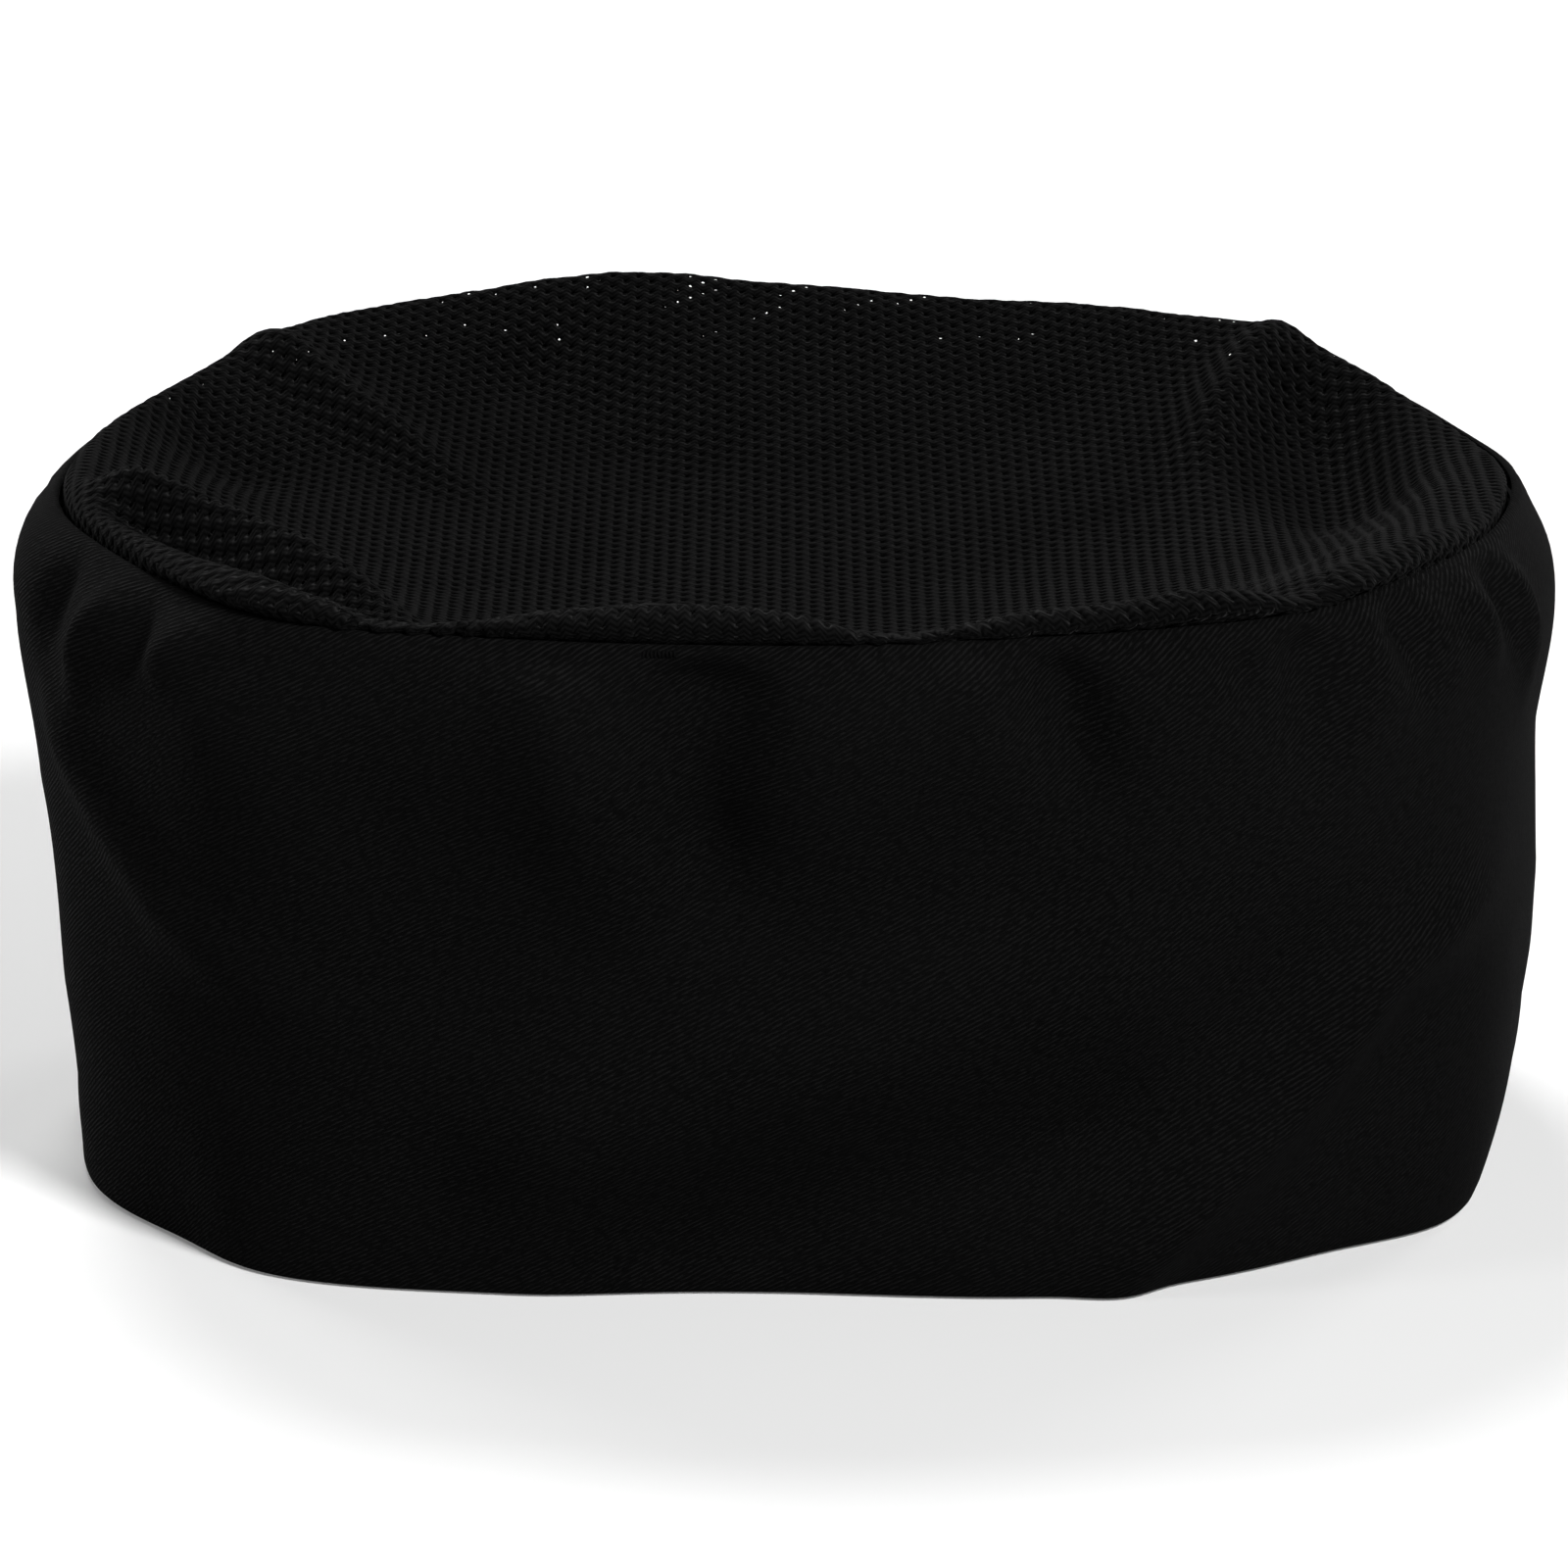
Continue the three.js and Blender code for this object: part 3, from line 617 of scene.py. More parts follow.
def thread_material():
    """Twisted sewing thread, a little glossier than the cloth."""
    nodes = Nodes("thread", (0.0013, 0.0013, 0.00135), 0.7, specular=0.012)
    twist = nodes.noise(3400, 3)
    nodes.tint(twist, 0.6, 1.5)
    nodes.bump(twist, 0.00005, 0.7)
    return nodes.material


def dress(obj, material, body="cap"):
    obj.data.materials.append(material)
    if body:
        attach(obj, body)
    return obj


# ---- The band --------------------------------------------------------------------------------
HEM_RADIUS = 0.8
TOP_RADIUS = 0.7
TWILL_THICKNESS = 0.45


def band_profile(step):
    """(inset, height) from inside the hem, round it, up the wall and over into the seam."""
    low = np.linspace(-math.pi / 2, math.pi / 2, 7)
    hem = [(HEM_RADIUS + HEM_RADIUS * math.sin(a), HEM_RADIUS - HEM_RADIUS * math.cos(a))
           for a in low[::-1]]
    rise = np.arange(HEM_RADIUS + step, BAND_HEIGHT - TOP_RADIUS, step)
    wall_part = [(0.0, z) for z in rise]
    high = np.linspace(0, math.pi, 7)
    top_centre = BAND_HEIGHT - TOP_RADIUS
    top = [(TOP_RADIUS - TOP_RADIUS * math.cos(a), top_centre + TOP_RADIUS * math.sin(a))
           for a in high]
    inside = [(2 * TOP_RADIUS, top_centre - down) for down in (1.5, 3.0, 5.0)]
    turned_up = [(2 * HEM_RADIUS, 3.0)]
    return np.array(turned_up + hem + wall_part + top + inside)


def arch_height(x, margin=0.0):
    """How high the opening at the back reaches at x."""
    half = ARCH_HALF_WIDTH + margin
    inside = np.clip(1 - (x / half) ** 2, 0, 1)
    return np.where(np.abs(x) < half, ARCH_STRAIGHT + (ARCH_CURVE + margin) * np.sqrt(inside), -1)


def outside_arch(grid, margin):
    """Which cells of a grid lie clear of the opening grown by margin."""
    centre = (grid[:-1, :-1] + grid[1:, :-1] + grid[1:, 1:] + grid[:-1, 1:]) / 4
    inside = (centre[..., 1] > 40) & (centre[..., 2] < arch_height(centre[..., 0], margin))
    return ~inside


def make_band(material):
    turns, distances = even_turns(REAR_SEAM_TURN, REAR_SEAM_TURN + 1, 1.45)
    profile = band_profile(1.4)
    grid = wall(turns[:, None], profile[None, :, 1], profile[None, :, 0])
    run = distances_along(profile)
    obj = cloth("band_twill", grid, TWILL_THICKNESS, flat_places(distances, run),
                outside_arch(grid, 1.6))
    dress(obj, material)
    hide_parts("band_outer")


def inner_ring(name, material, node, low, high, inset, thickness, margin):
    """A layer inside the band between two heights, all the way round, clear of the opening."""
    step = 3.0
    turns, distances = even_turns(REAR_SEAM_TURN, REAR_SEAM_TURN + 1, step)
    heights = np.linspace(low, high, int((high - low) / step))
    grid = wall(turns[:, None], heights[None, :], inset)
    obj = cloth(name, grid, thickness, flat_places(distances, heights), outside_arch(grid, margin))
    dress(obj, material)
    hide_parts(node)


# ---- The crown -------------------------------------------------------------------------------
DISH_CENTRE = np.array([-10.0, -14.0])
DISH_FLOOR = 73.0
DISH_POWER = 2.4
SEAM_INSET = 1.7                  # where the net comes out of the seam
NET_BULGE = 0.3                   # how far it then bulges out again over the band
FRONT_BULGE = 2.3                 # and how much further it does so along the front
ROLL_LEAST, ROLL_GROWTH = 1.6, 0.62   # half width of the roll, and more for each mm of height
DISH_BROAD_WAVES, DISH_FINE_WAVES = 0.45, 0.16   # height of the unevenness all over the dish
# How far the net's roll stands above the seam, along the front and the back: (x, height).
FRONT_LIPS = [
    (-96, 2.6), (-84, 3.8), (-66, 4.2), (-57, 2.6), (-52, 0.8), (-45, 0.6), (-38, 1.4),
    (-29, 3.0), (-16, 4.4), (-5, 4.2), (3, 3.0), (9, 1.2), (13, 0.5), (18, 0.6), (24, 1.5),
    (31, 2.6), (42, 2.8), (52, 3.8), (58, 3.2), (63, 1.2), (66, 0.9), (70, 3.0), (82, 3.0),
    (90, 1.2), (98, 0.5),
]
REAR_CREST = [
    (-98, 1.2), (-88, 2.4), (-80, 3.7), (-68, 6.5), (-54, 7.4), (-43, 8.5), (-33, 10.0),
    (-17, 10.9), (-5, 9.1), (8, 8.0), (27, 7.1), (41, 7.2), (54, 6.4), (64, 6.2), (70, 5.9),
    (77, 3.6), (84, 0.6), (92, 0.4), (98, 0.5),
]
# Folds of the dish: the points each runs through, its height and half width, as for the band.
DISH_FOLDS = [
    ([(-112, -4), (-90, -17), (-78, -23), (-68, -31), (-58, -41), (-48, -53), (-36, -70)], 7.5, 4.2),
    ([(-106, -10), (-88, -26), (-77, -38), (-67, -49), (-56, -59), (-42, -72)], -6.0, 6.0),
    ([(-92, 74), (-71, 54), (-64, 49), (-57, 42), (-47, 35), (-34, 25)], 4.6, 4.2),
    ([(-98, 34), (-80, 32), (-72, 26), (-62, 14)], -4.0, 9.0),
    ([(-40, 66), (-30, 56), (-19, 44), (-4, 30)], -2.6, 10.0),
    ([(82, 86), (70, 61), (63, 51), (58, 41), (56, 28), (56, 8)], 5.6, 4.8, 0.2, 0.5),
    ([(88, 64), (75, 45), (73, 28), (73, 8), (75, -14)], -6.0, 9.5),
    ([(94, 20), (84, -12), (74, -34), (60, -52)], 2.2, 7.0),
    ([(-20, 98), (-8, 84), (14, 66), (34, 50)], 1.2, 8.0),
]


def crest_height(rim):
    front = np.interp(rim[..., 0], *zip(*FRONT_LIPS))
    rear = np.interp(rim[..., 0], *zip(*REAR_CREST))
    return front + (rear - front) * smooth_step(rim[..., 1], -6, 24)


class Crown:
    """The crown's surface, laid out so that lengths along the cloth stay true from the middle."""

    ROUNDS = 720
    REACHES = 260
    PLACES = 200

    def __init__(self):
        # The seam's places at even angles round the middle of the dish.
        turns = np.arange(self.ROUNDS) / self.ROUNDS
        rim = wall(turns, BAND_HEIGHT, SEAM_INSET)[:, :2]
        angle = np.unwrap(np.arctan2(rim[:, 1] - DISH_CENTRE[1], rim[:, 0] - DISH_CENTRE[0]))
        even_angles = np.linspace(-math.pi, math.pi, self.ROUNDS, endpoint=False)
        closed_angle = np.concatenate([angle, [angle[0] + 2 * math.pi]])
        closed_turn = np.concatenate([turns, [1.0]])
        wanted = angle[0] + np.mod(even_angles - angle[0], 2 * math.pi)
        even_turns_round = np.interp(wanted, closed_angle, closed_turn)
        self.rim = wall(even_turns_round, BAND_HEIGHT, SEAM_INSET)[:, :2]
        radius = np.hypot(*(self.rim - DISH_CENTRE).T)
        wanted_crest = self.smooth_round(crest_height(self.rim), 5)
        width = ROLL_LEAST + ROLL_GROWTH * wanted_crest
        crest = wanted_crest
        # Places along each radius are closer together near the rim, where the net rolls over.
        share = 1 - (1 - np.linspace(0, 1, self.REACHES)) ** 2.2
        reach = share[None, :]
        inward = (1 - reach) * radius[:, None]
        past = np.clip(1 - inward / width[:, None], 0, 1)
        # The lower of bowl and roll is taken, rounded over about 1 mm where they meet. That lowers
        # the crest, so it is raised until it stands as wanted.
        for _ in range(4):
            bowl_top = BAND_HEIGHT + crest[:, None] + 1.0
            bowl = DISH_FLOOR + (bowl_top - DISH_FLOOR) * reach**DISH_POWER
            outer = BAND_HEIGHT + crest[:, None] * np.sqrt(1 - past**2)
            height = -np.logaddexp(-bowl, -outer)
            crest = crest + wanted_crest - (height.max(axis=1) - BAND_HEIGHT)
        height = np.where(inward > 2 * width[:, None] + 8, bowl, height)
        height = np.maximum(height, BAND_HEIGHT - 1 - (1 - past) * 20)
        self.roll_height = np.maximum(wanted_crest, 1.0)
        self.roll_width = width
        # Each radius is measured along the cloth, to find the place of any length along it.
        run_out = np.diff(reach * radius[:, None], axis=1)
        run_up = np.diff(height, axis=1)
        run = np.concatenate([np.zeros((self.ROUNDS, 1)),
                              np.cumsum(np.hypot(run_out, run_up), axis=1)], axis=1)
        self.length = run[:, -1]
        places = np.linspace(0, 1, self.PLACES)
        self.reach_table = np.stack([np.interp(places, run[k] / run[k, -1], share)
                                     for k in range(self.ROUNDS)])
        self.height_table = np.stack([np.interp(places, run[k] / run[k, -1], height[k])
                                      for k in range(self.ROUNDS)])

    @staticmethod
    def smooth_round(values, width):
        window = np.hanning(2 * width + 3)[1:-1]
        wrapped = np.concatenate([values[-width:], values, values[:width]])
        return np.convolve(wrapped, window / window.sum(), mode="valid")

    def lookup(self, table, angle, place):
        row = np.mod((angle + math.pi) / (2 * math.pi) * self.ROUNDS, self.ROUNDS)
        low = np.floor(row).astype(int) % self.ROUNDS
        high = (low + 1) % self.ROUNDS
        across = row - np.floor(row)
        if table.ndim == 1:
            return table[low] * (1 - across) + table[high] * across
        column = np.clip(place, 0, 1) * (self.PLACES - 1)
        near = np.minimum(np.floor(column).astype(int), self.PLACES - 2)
        along = column - near
        first = table[low, near] * (1 - along) + table[low, near + 1] * along
        second = table[high, near] * (1 - along) + table[high, near + 1] * along
        return first * (1 - across) + second * across

    def surface(self, x, y):
        """The place in space of a point of the flat cloth."""
        dx, dy = x - DISH_CENTRE[0], y - DISH_CENTRE[1]
        angle = np.arctan2(dy, dx)
        distance = np.hypot(dx, dy)
        length = self.lookup(self.length, angle, None)
        place = distance / length
        reach = self.lookup(self.reach_table, angle, place)
        height = self.lookup(self.height_table, angle, place)
        rim = np.stack([self.lookup(self.rim[:, axis], angle, None) for axis in (0, 1)], -1)
        plan = DISH_CENTRE + (rim - DISH_CENTRE) * reach[..., None]
        # Where it comes out of the seam the net bulges over the band before it rolls inward.
        risen = np.clip((height - BAND_HEIGHT) / self.lookup(self.roll_height, angle, None), 0, 1)
        outer = np.hypot(*np.moveaxis(rim - plan, -1, 0)) < self.lookup(self.roll_width, angle, None)
        front = smooth_step(-plan[..., 1], 36, 62)
        bulge = (NET_BULGE + FRONT_BULGE * front) * np.sin(math.pi * risen)
        bulge = np.where(outer, bulge, 0)
        away = np.stack([np.cos(angle), np.sin(angle)], -1)
        plan = plan + away * bulge[..., None]
        below = np.maximum(distance - length, 0)
        inside = smooth_step(-place, -0.985, -0.86)
        for fold in DISH_FOLDS:
            height = height + inside * fold_height(plan[..., 0], plan[..., 1], *fold)
        uneven = DISH_BROAD_WAVES * ripple(plan[..., 0], plan[..., 1], 21, 34)
        uneven = uneven + DISH_FINE_WAVES * ripple(plan[..., 0], plan[..., 1], 22, 13)
        height = height + inside * uneven - below
        height = height - seam_dip(plan[..., 0], plan[..., 1]) * smooth_step(place, 0.5, 0.95)
        return np.concatenate([plan, height[..., None]], -1)


HOLE_COLUMN = 1.86
HOLE_ROW = 2.04
HOLE_WIDTH = 0.62
HOLE_LENGTH = 0.36
GATHERED_REAR = 0.2               # how much smaller the holes are on the roll at the back
GATHERED_FRONT = 0.85             # and at the front
YARN_HALF = 0.11                  # half the thickness of the net where its yarns meet
TUCK = 2.5                        # how much of the net goes down into the seam


def make_crown(material):
    crown = Crown()
    span = 120
    columns = int(span / HOLE_COLUMN)
    rows = int(span / HOLE_ROW)
    i, j = np.meshgrid(np.arange(-columns, columns + 1), np.arange(-rows, rows + 1), indexing="ij")
    centre_x = i * HOLE_COLUMN
    centre_y = (j + 0.5 * (i % 2)) * HOLE_ROW
    angle = np.arctan2(centre_y - DISH_CENTRE[1], centre_x - DISH_CENTRE[0])
    distance = np.hypot(centre_x - DISH_CENTRE[0], centre_y - DISH_CENTRE[1])
    keep = distance < crown.lookup(crown.length, angle, None) + TUCK
    centre_x, centre_y = centre_x[keep], centre_y[keep]
    # The six corners of a cell, where three cells meet, counterclockwise from the right.
    corner_x = np.array([2 / 3, 1 / 3, -1 / 3, -2 / 3, -1 / 3, 1 / 3]) * HOLE_COLUMN
    corner_y = np.array([0, 0.5, 0.5, 0, -0.5, -0.5]) * HOLE_ROW
    turn = np.arange(6) * math.pi / 3
    hole_x = np.cos(turn) * HOLE_WIDTH / 2
    hole_y = np.sin(turn) * HOLE_LENGTH / 2 / math.sin(math.pi / 3)
    draw = np.random.default_rng(5)
    size = 1 + draw.normal(0, 0.06, len(centre_x))[:, None]
    # The net is gathered where it rolls over to the seam, which closes its holes.
    place = distance[keep] / crown.lookup(crown.length, angle[keep], None)
    front = smooth_step(-centre_y, 10, 50)
    gathered = GATHERED_REAR + (GATHERED_FRONT - GATHERED_REAR) * front
    size = size * (1 - gathered * smooth_step(place, 0.85, 0.94))[:, None]
    all_corners = np.stack([centre_x[:, None] + corner_x, centre_y[:, None] + corner_y], -1)
    key = np.round(all_corners.reshape(-1, 2) * 1000).astype(np.int64)
    _, first, inverse = np.unique(key, axis=0, return_index=True, return_inverse=True)
    corners = all_corners.reshape(-1, 2)[first]
    inverse = inverse.reshape(-1, 6)
    holes = np.stack([centre_x[:, None] + hole_x * size, centre_y[:, None] + hole_y * size], -1)
    holes = holes.reshape(-1, 2)
    corner_count, cell_count = len(corners), len(centre_x)

    def lift(points, offset):
        nudge = 0.4
        here = crown.surface(points[:, 0], points[:, 1])
        right = crown.surface(points[:, 0] + nudge, points[:, 1])
        back = crown.surface(points[:, 0], points[:, 1] + nudge)
        normal = np.cross(right - here, back - here)
        normal /= np.maximum(np.linalg.norm(normal, axis=1, keepdims=True), 1e-9)
        return here + normal * offset

    vertices = np.concatenate([lift(corners, YARN_HALF), lift(corners, -YARN_HALF),
                               lift(holes, 0)])
    hole = 2 * corner_count + 6 * np.arange(cell_count)[:, None] + np.arange(6)
    upper, lower = [], []
    for k in range(6):
        n = (k + 1) % 6
        upper.append(np.stack([inverse[:, k], inverse[:, n], hole[:, n], hole[:, k]], -1))
        lower.append(np.stack([hole[:, k], hole[:, n], inverse[:, n] + corner_count,
                               inverse[:, k] + corner_count], -1))
    upper, lower = np.concatenate(upper), np.concatenate(lower)
    walls = edge_walls(upper[:, 0], upper[:, 1], corner_count)
    faces = upper.tolist() + lower.tolist() + walls
    obj = make_object("crown_net", vertices, faces, np.concatenate([corners, corners, holes]),
                      sharp=180)
    dress(obj, material)
    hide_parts("crown_mesh")


# ---- Stage -----------------------------------------------------------------------------------
FLOOR_DROP = 0.0002               # in metres, so that hem and floor don't share a plane
SKY_HORIZON = 1.0
SKY_OVERHEAD = 0.02
SOFTBOXES = [                     # name, place in metres, size in metres, power in watts
    ("key", (0.9, -1.5, 1.35), 0.5, 92),
    ("back", (-0.3, 1.0, 1.65), 0.7, 37),
    ("fill", (-1.9, -0.75, 0.5), 0.6, 17),
    ("rear_left", (-1.3, 1.5, 0.55), 0.7, 24),
    ("rear_right", (1.2, 1.6, 0.55), 0.7, 17),
]


def make_stage():
    size = 30.0
    mesh = bpy.data.meshes.new("floor")
    mesh.from_pydata([(-size, -size, 0), (size, -size, 0), (size, size, 0), (-size, size, 0)], [],
                     [(0, 1, 2, 3)])
    floor = link(bpy.data.objects.new("floor", mesh))
    floor.location.z = -FLOOR_DROP
    nodes = Nodes("floor", (0.5, 0.5, 0.5), 0.95, specular=0.05)
    nodes.shader.inputs["Emission Color"].default_value = (1, 1, 1, 1)
    nodes.shader.inputs["Emission Strength"].default_value = 0.1
    floor.data.materials.append(nodes.material)
    make_sky()
    for softbox in SOFTBOXES:
        add_light(*softbox)
    bpy.context.scene.view_settings.view_transform = "Standard"


def make_sky():
    """A plain sky, white at the horizon and dimmer overhead, so that the softboxes shape the cap."""
    world = bpy.data.worlds.new("studio")
    world.use_nodes = True
    tree = world.node_tree
    place = tree.nodes.new("ShaderNodeTexCoord")
    split = tree.nodes.new("ShaderNodeSeparateXYZ")
    ramp = tree.nodes.new("ShaderNodeMapRange")
    ramp.interpolation_type = "SMOOTHSTEP"
    for slot, value in zip(("From Min", "From Max", "To Min", "To Max"),
                           (0.05, 0.14, SKY_HORIZON, SKY_OVERHEAD)):
        ramp.inputs[slot].default_value = value
    tree.links.new(place.outputs["Generated"], split.inputs[0])
    tree.links.new(split.outputs["Z"], ramp.inputs["Value"])
    tree.links.new(ramp.outputs["Result"], tree.nodes["Background"].inputs["Strength"])
    tree.nodes["Background"].inputs["Color"].default_value = (1, 1, 1, 1)
    bpy.context.scene.world = world


def add_light(name, place, size, power):
    data = bpy.data.lights.new(name, "AREA")
    data.shape = "DISK"
    data.size = size
    data.energy = power
    light = link(bpy.data.objects.new(name, data))
    light.location = place
    aim = Vector(CAMERA_AIM) - Vector(place)
    light.rotation_euler = aim.to_track_quat("-Z", "Y").to_euler()


def strip(name, material, start, end, low, high, inset_at, thickness, body):
    """A flat strap along the back of the cap: rounded edges, and a rounded end where it stops.

    start and end are x; inset_at gives the depth of its outer face from x.
    """
    direction = 1 if end > start else -1
    step, corner = 0.9, 2.2
    count = int(abs(end - start) / step)
    xs = np.linspace(start, end, count + 1)
    half = thickness / 2
    middle = (low + high) / 2
    across = np.linspace(-1, 1, 23)
    bend = np.linspace(-math.pi / 2, math.pi / 2, 7)[1:-1]
    rows = []
    for x in xs:
        left = abs(end - x)
        full = (high - low) / 2
        if left < corner:
            full -= corner - math.sqrt(corner**2 - (corner - left) ** 2)
        reach = full - half
        outer = [(middle + reach * a, -half) for a in across]
        top = [(middle + reach + half * math.cos(b), half * math.sin(b)) for b in bend]
        inner = [(middle + reach * a, half) for a in across[::-1]]
        bottom = [(middle - reach - half * math.cos(b), -half * math.sin(b)) for b in bend]
        rows.append(outer + top + inner + bottom)
    rows = np.array(rows)
    at = xs[:, None] + 0 * rows[..., 0]
    # Both ends thin out, so that the strap has no square corner there.
    taper = np.clip(np.minimum(np.abs(xs - start), np.abs(xs - end)) / half, 0, 1)
    taper = np.sqrt(1 - (1 - taper) ** 2) * 0.9 + 0.1
    depth = inset_at(at) + half + rows[..., 1] * taper[:, None]
    depth = depth + 0.12 * ripple(at, rows[..., 0], 31, 17)
    grid = rear_wall(at, rows[..., 0]) - wall_outward(at, rows[..., 0]) * depth[..., None]
    count_i, count_j = grid.shape[:2]
    faces = []
    for i in range(count_i - 1):
        for j in range(count_j):
            n = (j + 1) % count_j
            quad = (i * count_j + j, (i + 1) * count_j + j, (i + 1) * count_j + n, i * count_j + n)
            faces.append(quad if direction < 0 else quad[::-1])
    first = tuple(range(count_j))
    last = tuple((count_i - 1) * count_j + j for j in range(count_j))
    faces.append(first[::-1] if direction > 0 else first)
    faces.append(last if direction > 0 else last[::-1])
    uv = np.stack([at, rows[..., 0]], -1).reshape(-1, 2)
    obj = make_object(name, grid.reshape(-1, 3), faces, uv)
    dress(obj, material, body)
    return obj


def wall_outward(x, height):
    """The direction straight out of the back of the band."""
    turn = rear_turn(x, height)
    nudge = 0.0005
    return level_outward(wall(turn + nudge, height) - wall(turn - nudge, height))


def arch_path(step, margin=0.0):
    """Points round the opening, from its foot at -X over the top to +X: x, height, and outward."""
    half, rise = ARCH_HALF_WIDTH + margin, ARCH_CURVE + margin
    foot = 0.5
    straight = np.arange(foot, ARCH_STRAIGHT, step)
    angle = np.linspace(math.pi, 0, int(math.pi * (half + rise) / 2 / step))
    x = np.concatenate([-half + 0 * straight, half * np.cos(angle), half + 0 * straight])
    z = np.concatenate([straight, ARCH_STRAIGHT + rise * np.sin(angle), straight[::-1]])
    away_x = np.concatenate([-1 + 0 * straight, np.cos(angle) / half, 1 + 0 * straight])
    away_z = np.concatenate([0 * straight, np.sin(angle) / rise, 0 * straight])
    size = np.hypot(away_x, away_z)
    return x, z, away_x / size, away_z / size


BINDING_WIDTH = 6.0
BINDING_LIFT = 0.55               # how far the tape stands out of the band's faces
BAND_DEPTH = 2.5
ARCH_STEP = 0.8                   # between the points of a path round the opening
THREAD_RADIUS = 0.2


def arch_binding(material):
    x, z, away_x, away_z = arch_path(ARCH_STEP)
    lift, deep = BINDING_LIFT, BAND_DEPTH
    # The tape's section: (distance from the opening's edge, depth), outside leg first.
    section = [(BINDING_WIDTH, -0.08), (BINDING_WIDTH - 0.25, -0.4), (BINDING_WIDTH - 0.7, -lift),
               (4.6, -lift), (4.0, -lift + 0.12), (3.4, -lift), (2.4, -lift - 0.08), (1.2, -lift - 0.1),
               (0.2, -lift - 0.02), (-0.5, -0.25), (-0.85, 0.35), (-0.95, 1.25), (-0.85, 2.15),
               (-0.5, deep + 0.25), (0.2, deep + lift), (1.2, deep + lift + 0.1),
               (2.4, deep + lift + 0.08), (3.4, deep + lift), (4.0, deep + lift - 0.12),
               (4.6, deep + lift), (BINDING_WIDTH - 0.7, deep + lift),
               (BINDING_WIDTH - 0.25, deep + 0.4), (BINDING_WIDTH, deep + 0.1)]
    out, depth = np.array(section).T
    at_x = x[:, None] + away_x[:, None] * out[None, :]
    at_z = np.maximum(z[:, None] + away_z[:, None] * out[None, :], 0.35)
    pucker = 0.1 * ripple(np.arange(len(x))[:, None] * ARCH_STEP + 0 * at_x, out[None, :] * 2, 41, 7)
    pucker = pucker * np.sign(depth - BAND_DEPTH / 2)[None, :]
    grid = rear_wall(at_x, at_z) - wall_outward(at_x, at_z) * (depth[None, :] + pucker)[..., None]
    run = distances_along(np.array(section))
    obj = cloth("arch_tape", grid, 0.4, flat_places(np.arange(len(x)) * ARCH_STEP, run))
    dress(obj, material)
    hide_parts("arch_binding")


def arch_stitches(material):
    for name, depth, side in (("arch_stitches_out", -BINDING_LIFT - 0.02, 1),
                              ("arch_stitches_in", BAND_DEPTH + BINDING_LIFT + 0.02, -1)):
        x, z = (part[1:-1] for part in arch_path(ARCH_STEP, 4.0)[:2])
        outward = wall_outward(x, z)
        path = rear_wall(x, z) - outward * depth
        obj = thread_run(name, path, outward * side, 2.1, 0.55, THREAD_RADIUS)
        dress(obj, material)
        if side > 0:
            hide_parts("arch_binding_stitching")


def ring_stitches(name, material, height, inset, start, end, node=None):
    """A line of stitches round the inside of the cap."""
    turns, _ = even_turns(start, end, 1.5, height)
    path = wall(turns, height, inset)
    inward = -level_outward(np.gradient(path, axis=0))
    obj = thread_run(name, path, inward, 2.4, 0.6, THREAD_RADIUS)
    dress(obj, material)
    if node:
        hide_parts(node)


def satin(name, material, node, x, height, width, length, face, seed, upright=True, turn=None,
          radius=0.24):
    """A bar tack: close stitches side by side, each laid slightly askew.

    It lies on the back of the band round x, or round a turn where one is given. face is how far
    its threads stand out from the band.
    """
    pitch = 0.42
    draw = np.random.default_rng(seed)
    share = np.linspace(-1, 1, 5)
    rise = 0.1 * (1 - share**2)
    vertices, faces = [], []
    for k in range(int(length / pitch)):
        along = -length / 2 + (k + 0.5) * pitch + draw.normal(0, 0.12) * share
        across = width / 2 * share * (1 + draw.normal(0, 0.03, len(share)))
        dx, dz = (across, along) if upright else (along, across)
        if turn is None:
            at_x, at_z = x + dx, height + dz
            points, outward = rear_wall(at_x, at_z), wall_outward(at_x, at_z)
        else:
            places = turn + dx / ROUND_TURNS_LENGTH
            points = wall(places, height + dz)
            nudge = 0.001
            outward = level_outward(wall(places + nudge, height + dz)
                                    - wall(places - nudge, height + dz))
        centre = points + outward * (face + rise)[:, None]
        add_capsule(vertices, faces, centre, outward, radius)
    obj = make_object(name, vertices, faces, sharp=80)
    dress(obj, material)
    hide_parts(node)


# ---- The adjuster ----------------------------------------------------------------------------
STRAP_THICKNESS = 0.9
PATCH_MARGIN = 2.0
PATCH_LENGTH = 36.0
PATCH_THICKNESS = 0.8
HOOK_PATCH_INSET = 4.9
LOOP_PATCH_INSET = 6.0
STEP_LENGTH = 8.0                 # the loop strap steps in under the other over this length
FOLD_HALF = 3.5                   # each side of its hinge; the straps' fold places are worked out from this, but the straps are left unbent


def loop_inset(x):
    return STRAP_INSET + (LOOP_STRAP_INSET - STRAP_INSET) * smooth_step(
        x, -STRAP_HINGE, -STRAP_HINGE + STEP_LENGTH)


def hook_inset(x):
    return STRAP_INSET + 0 * x


def patch(name, material, side, inset, body, node):
    start = side * (-STRAP_FREE_END + PATCH_MARGIN + PATCH_LENGTH)
    end = side * (-STRAP_FREE_END + PATCH_MARGIN)
    obj = strip(name, material, start, end, STRAP_BOTTOM + PATCH_MARGIN,
                STRAP_TOP - PATCH_MARGIN, lambda x: inset + 0 * x, PATCH_THICKNESS, body)
    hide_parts(node)
    return obj


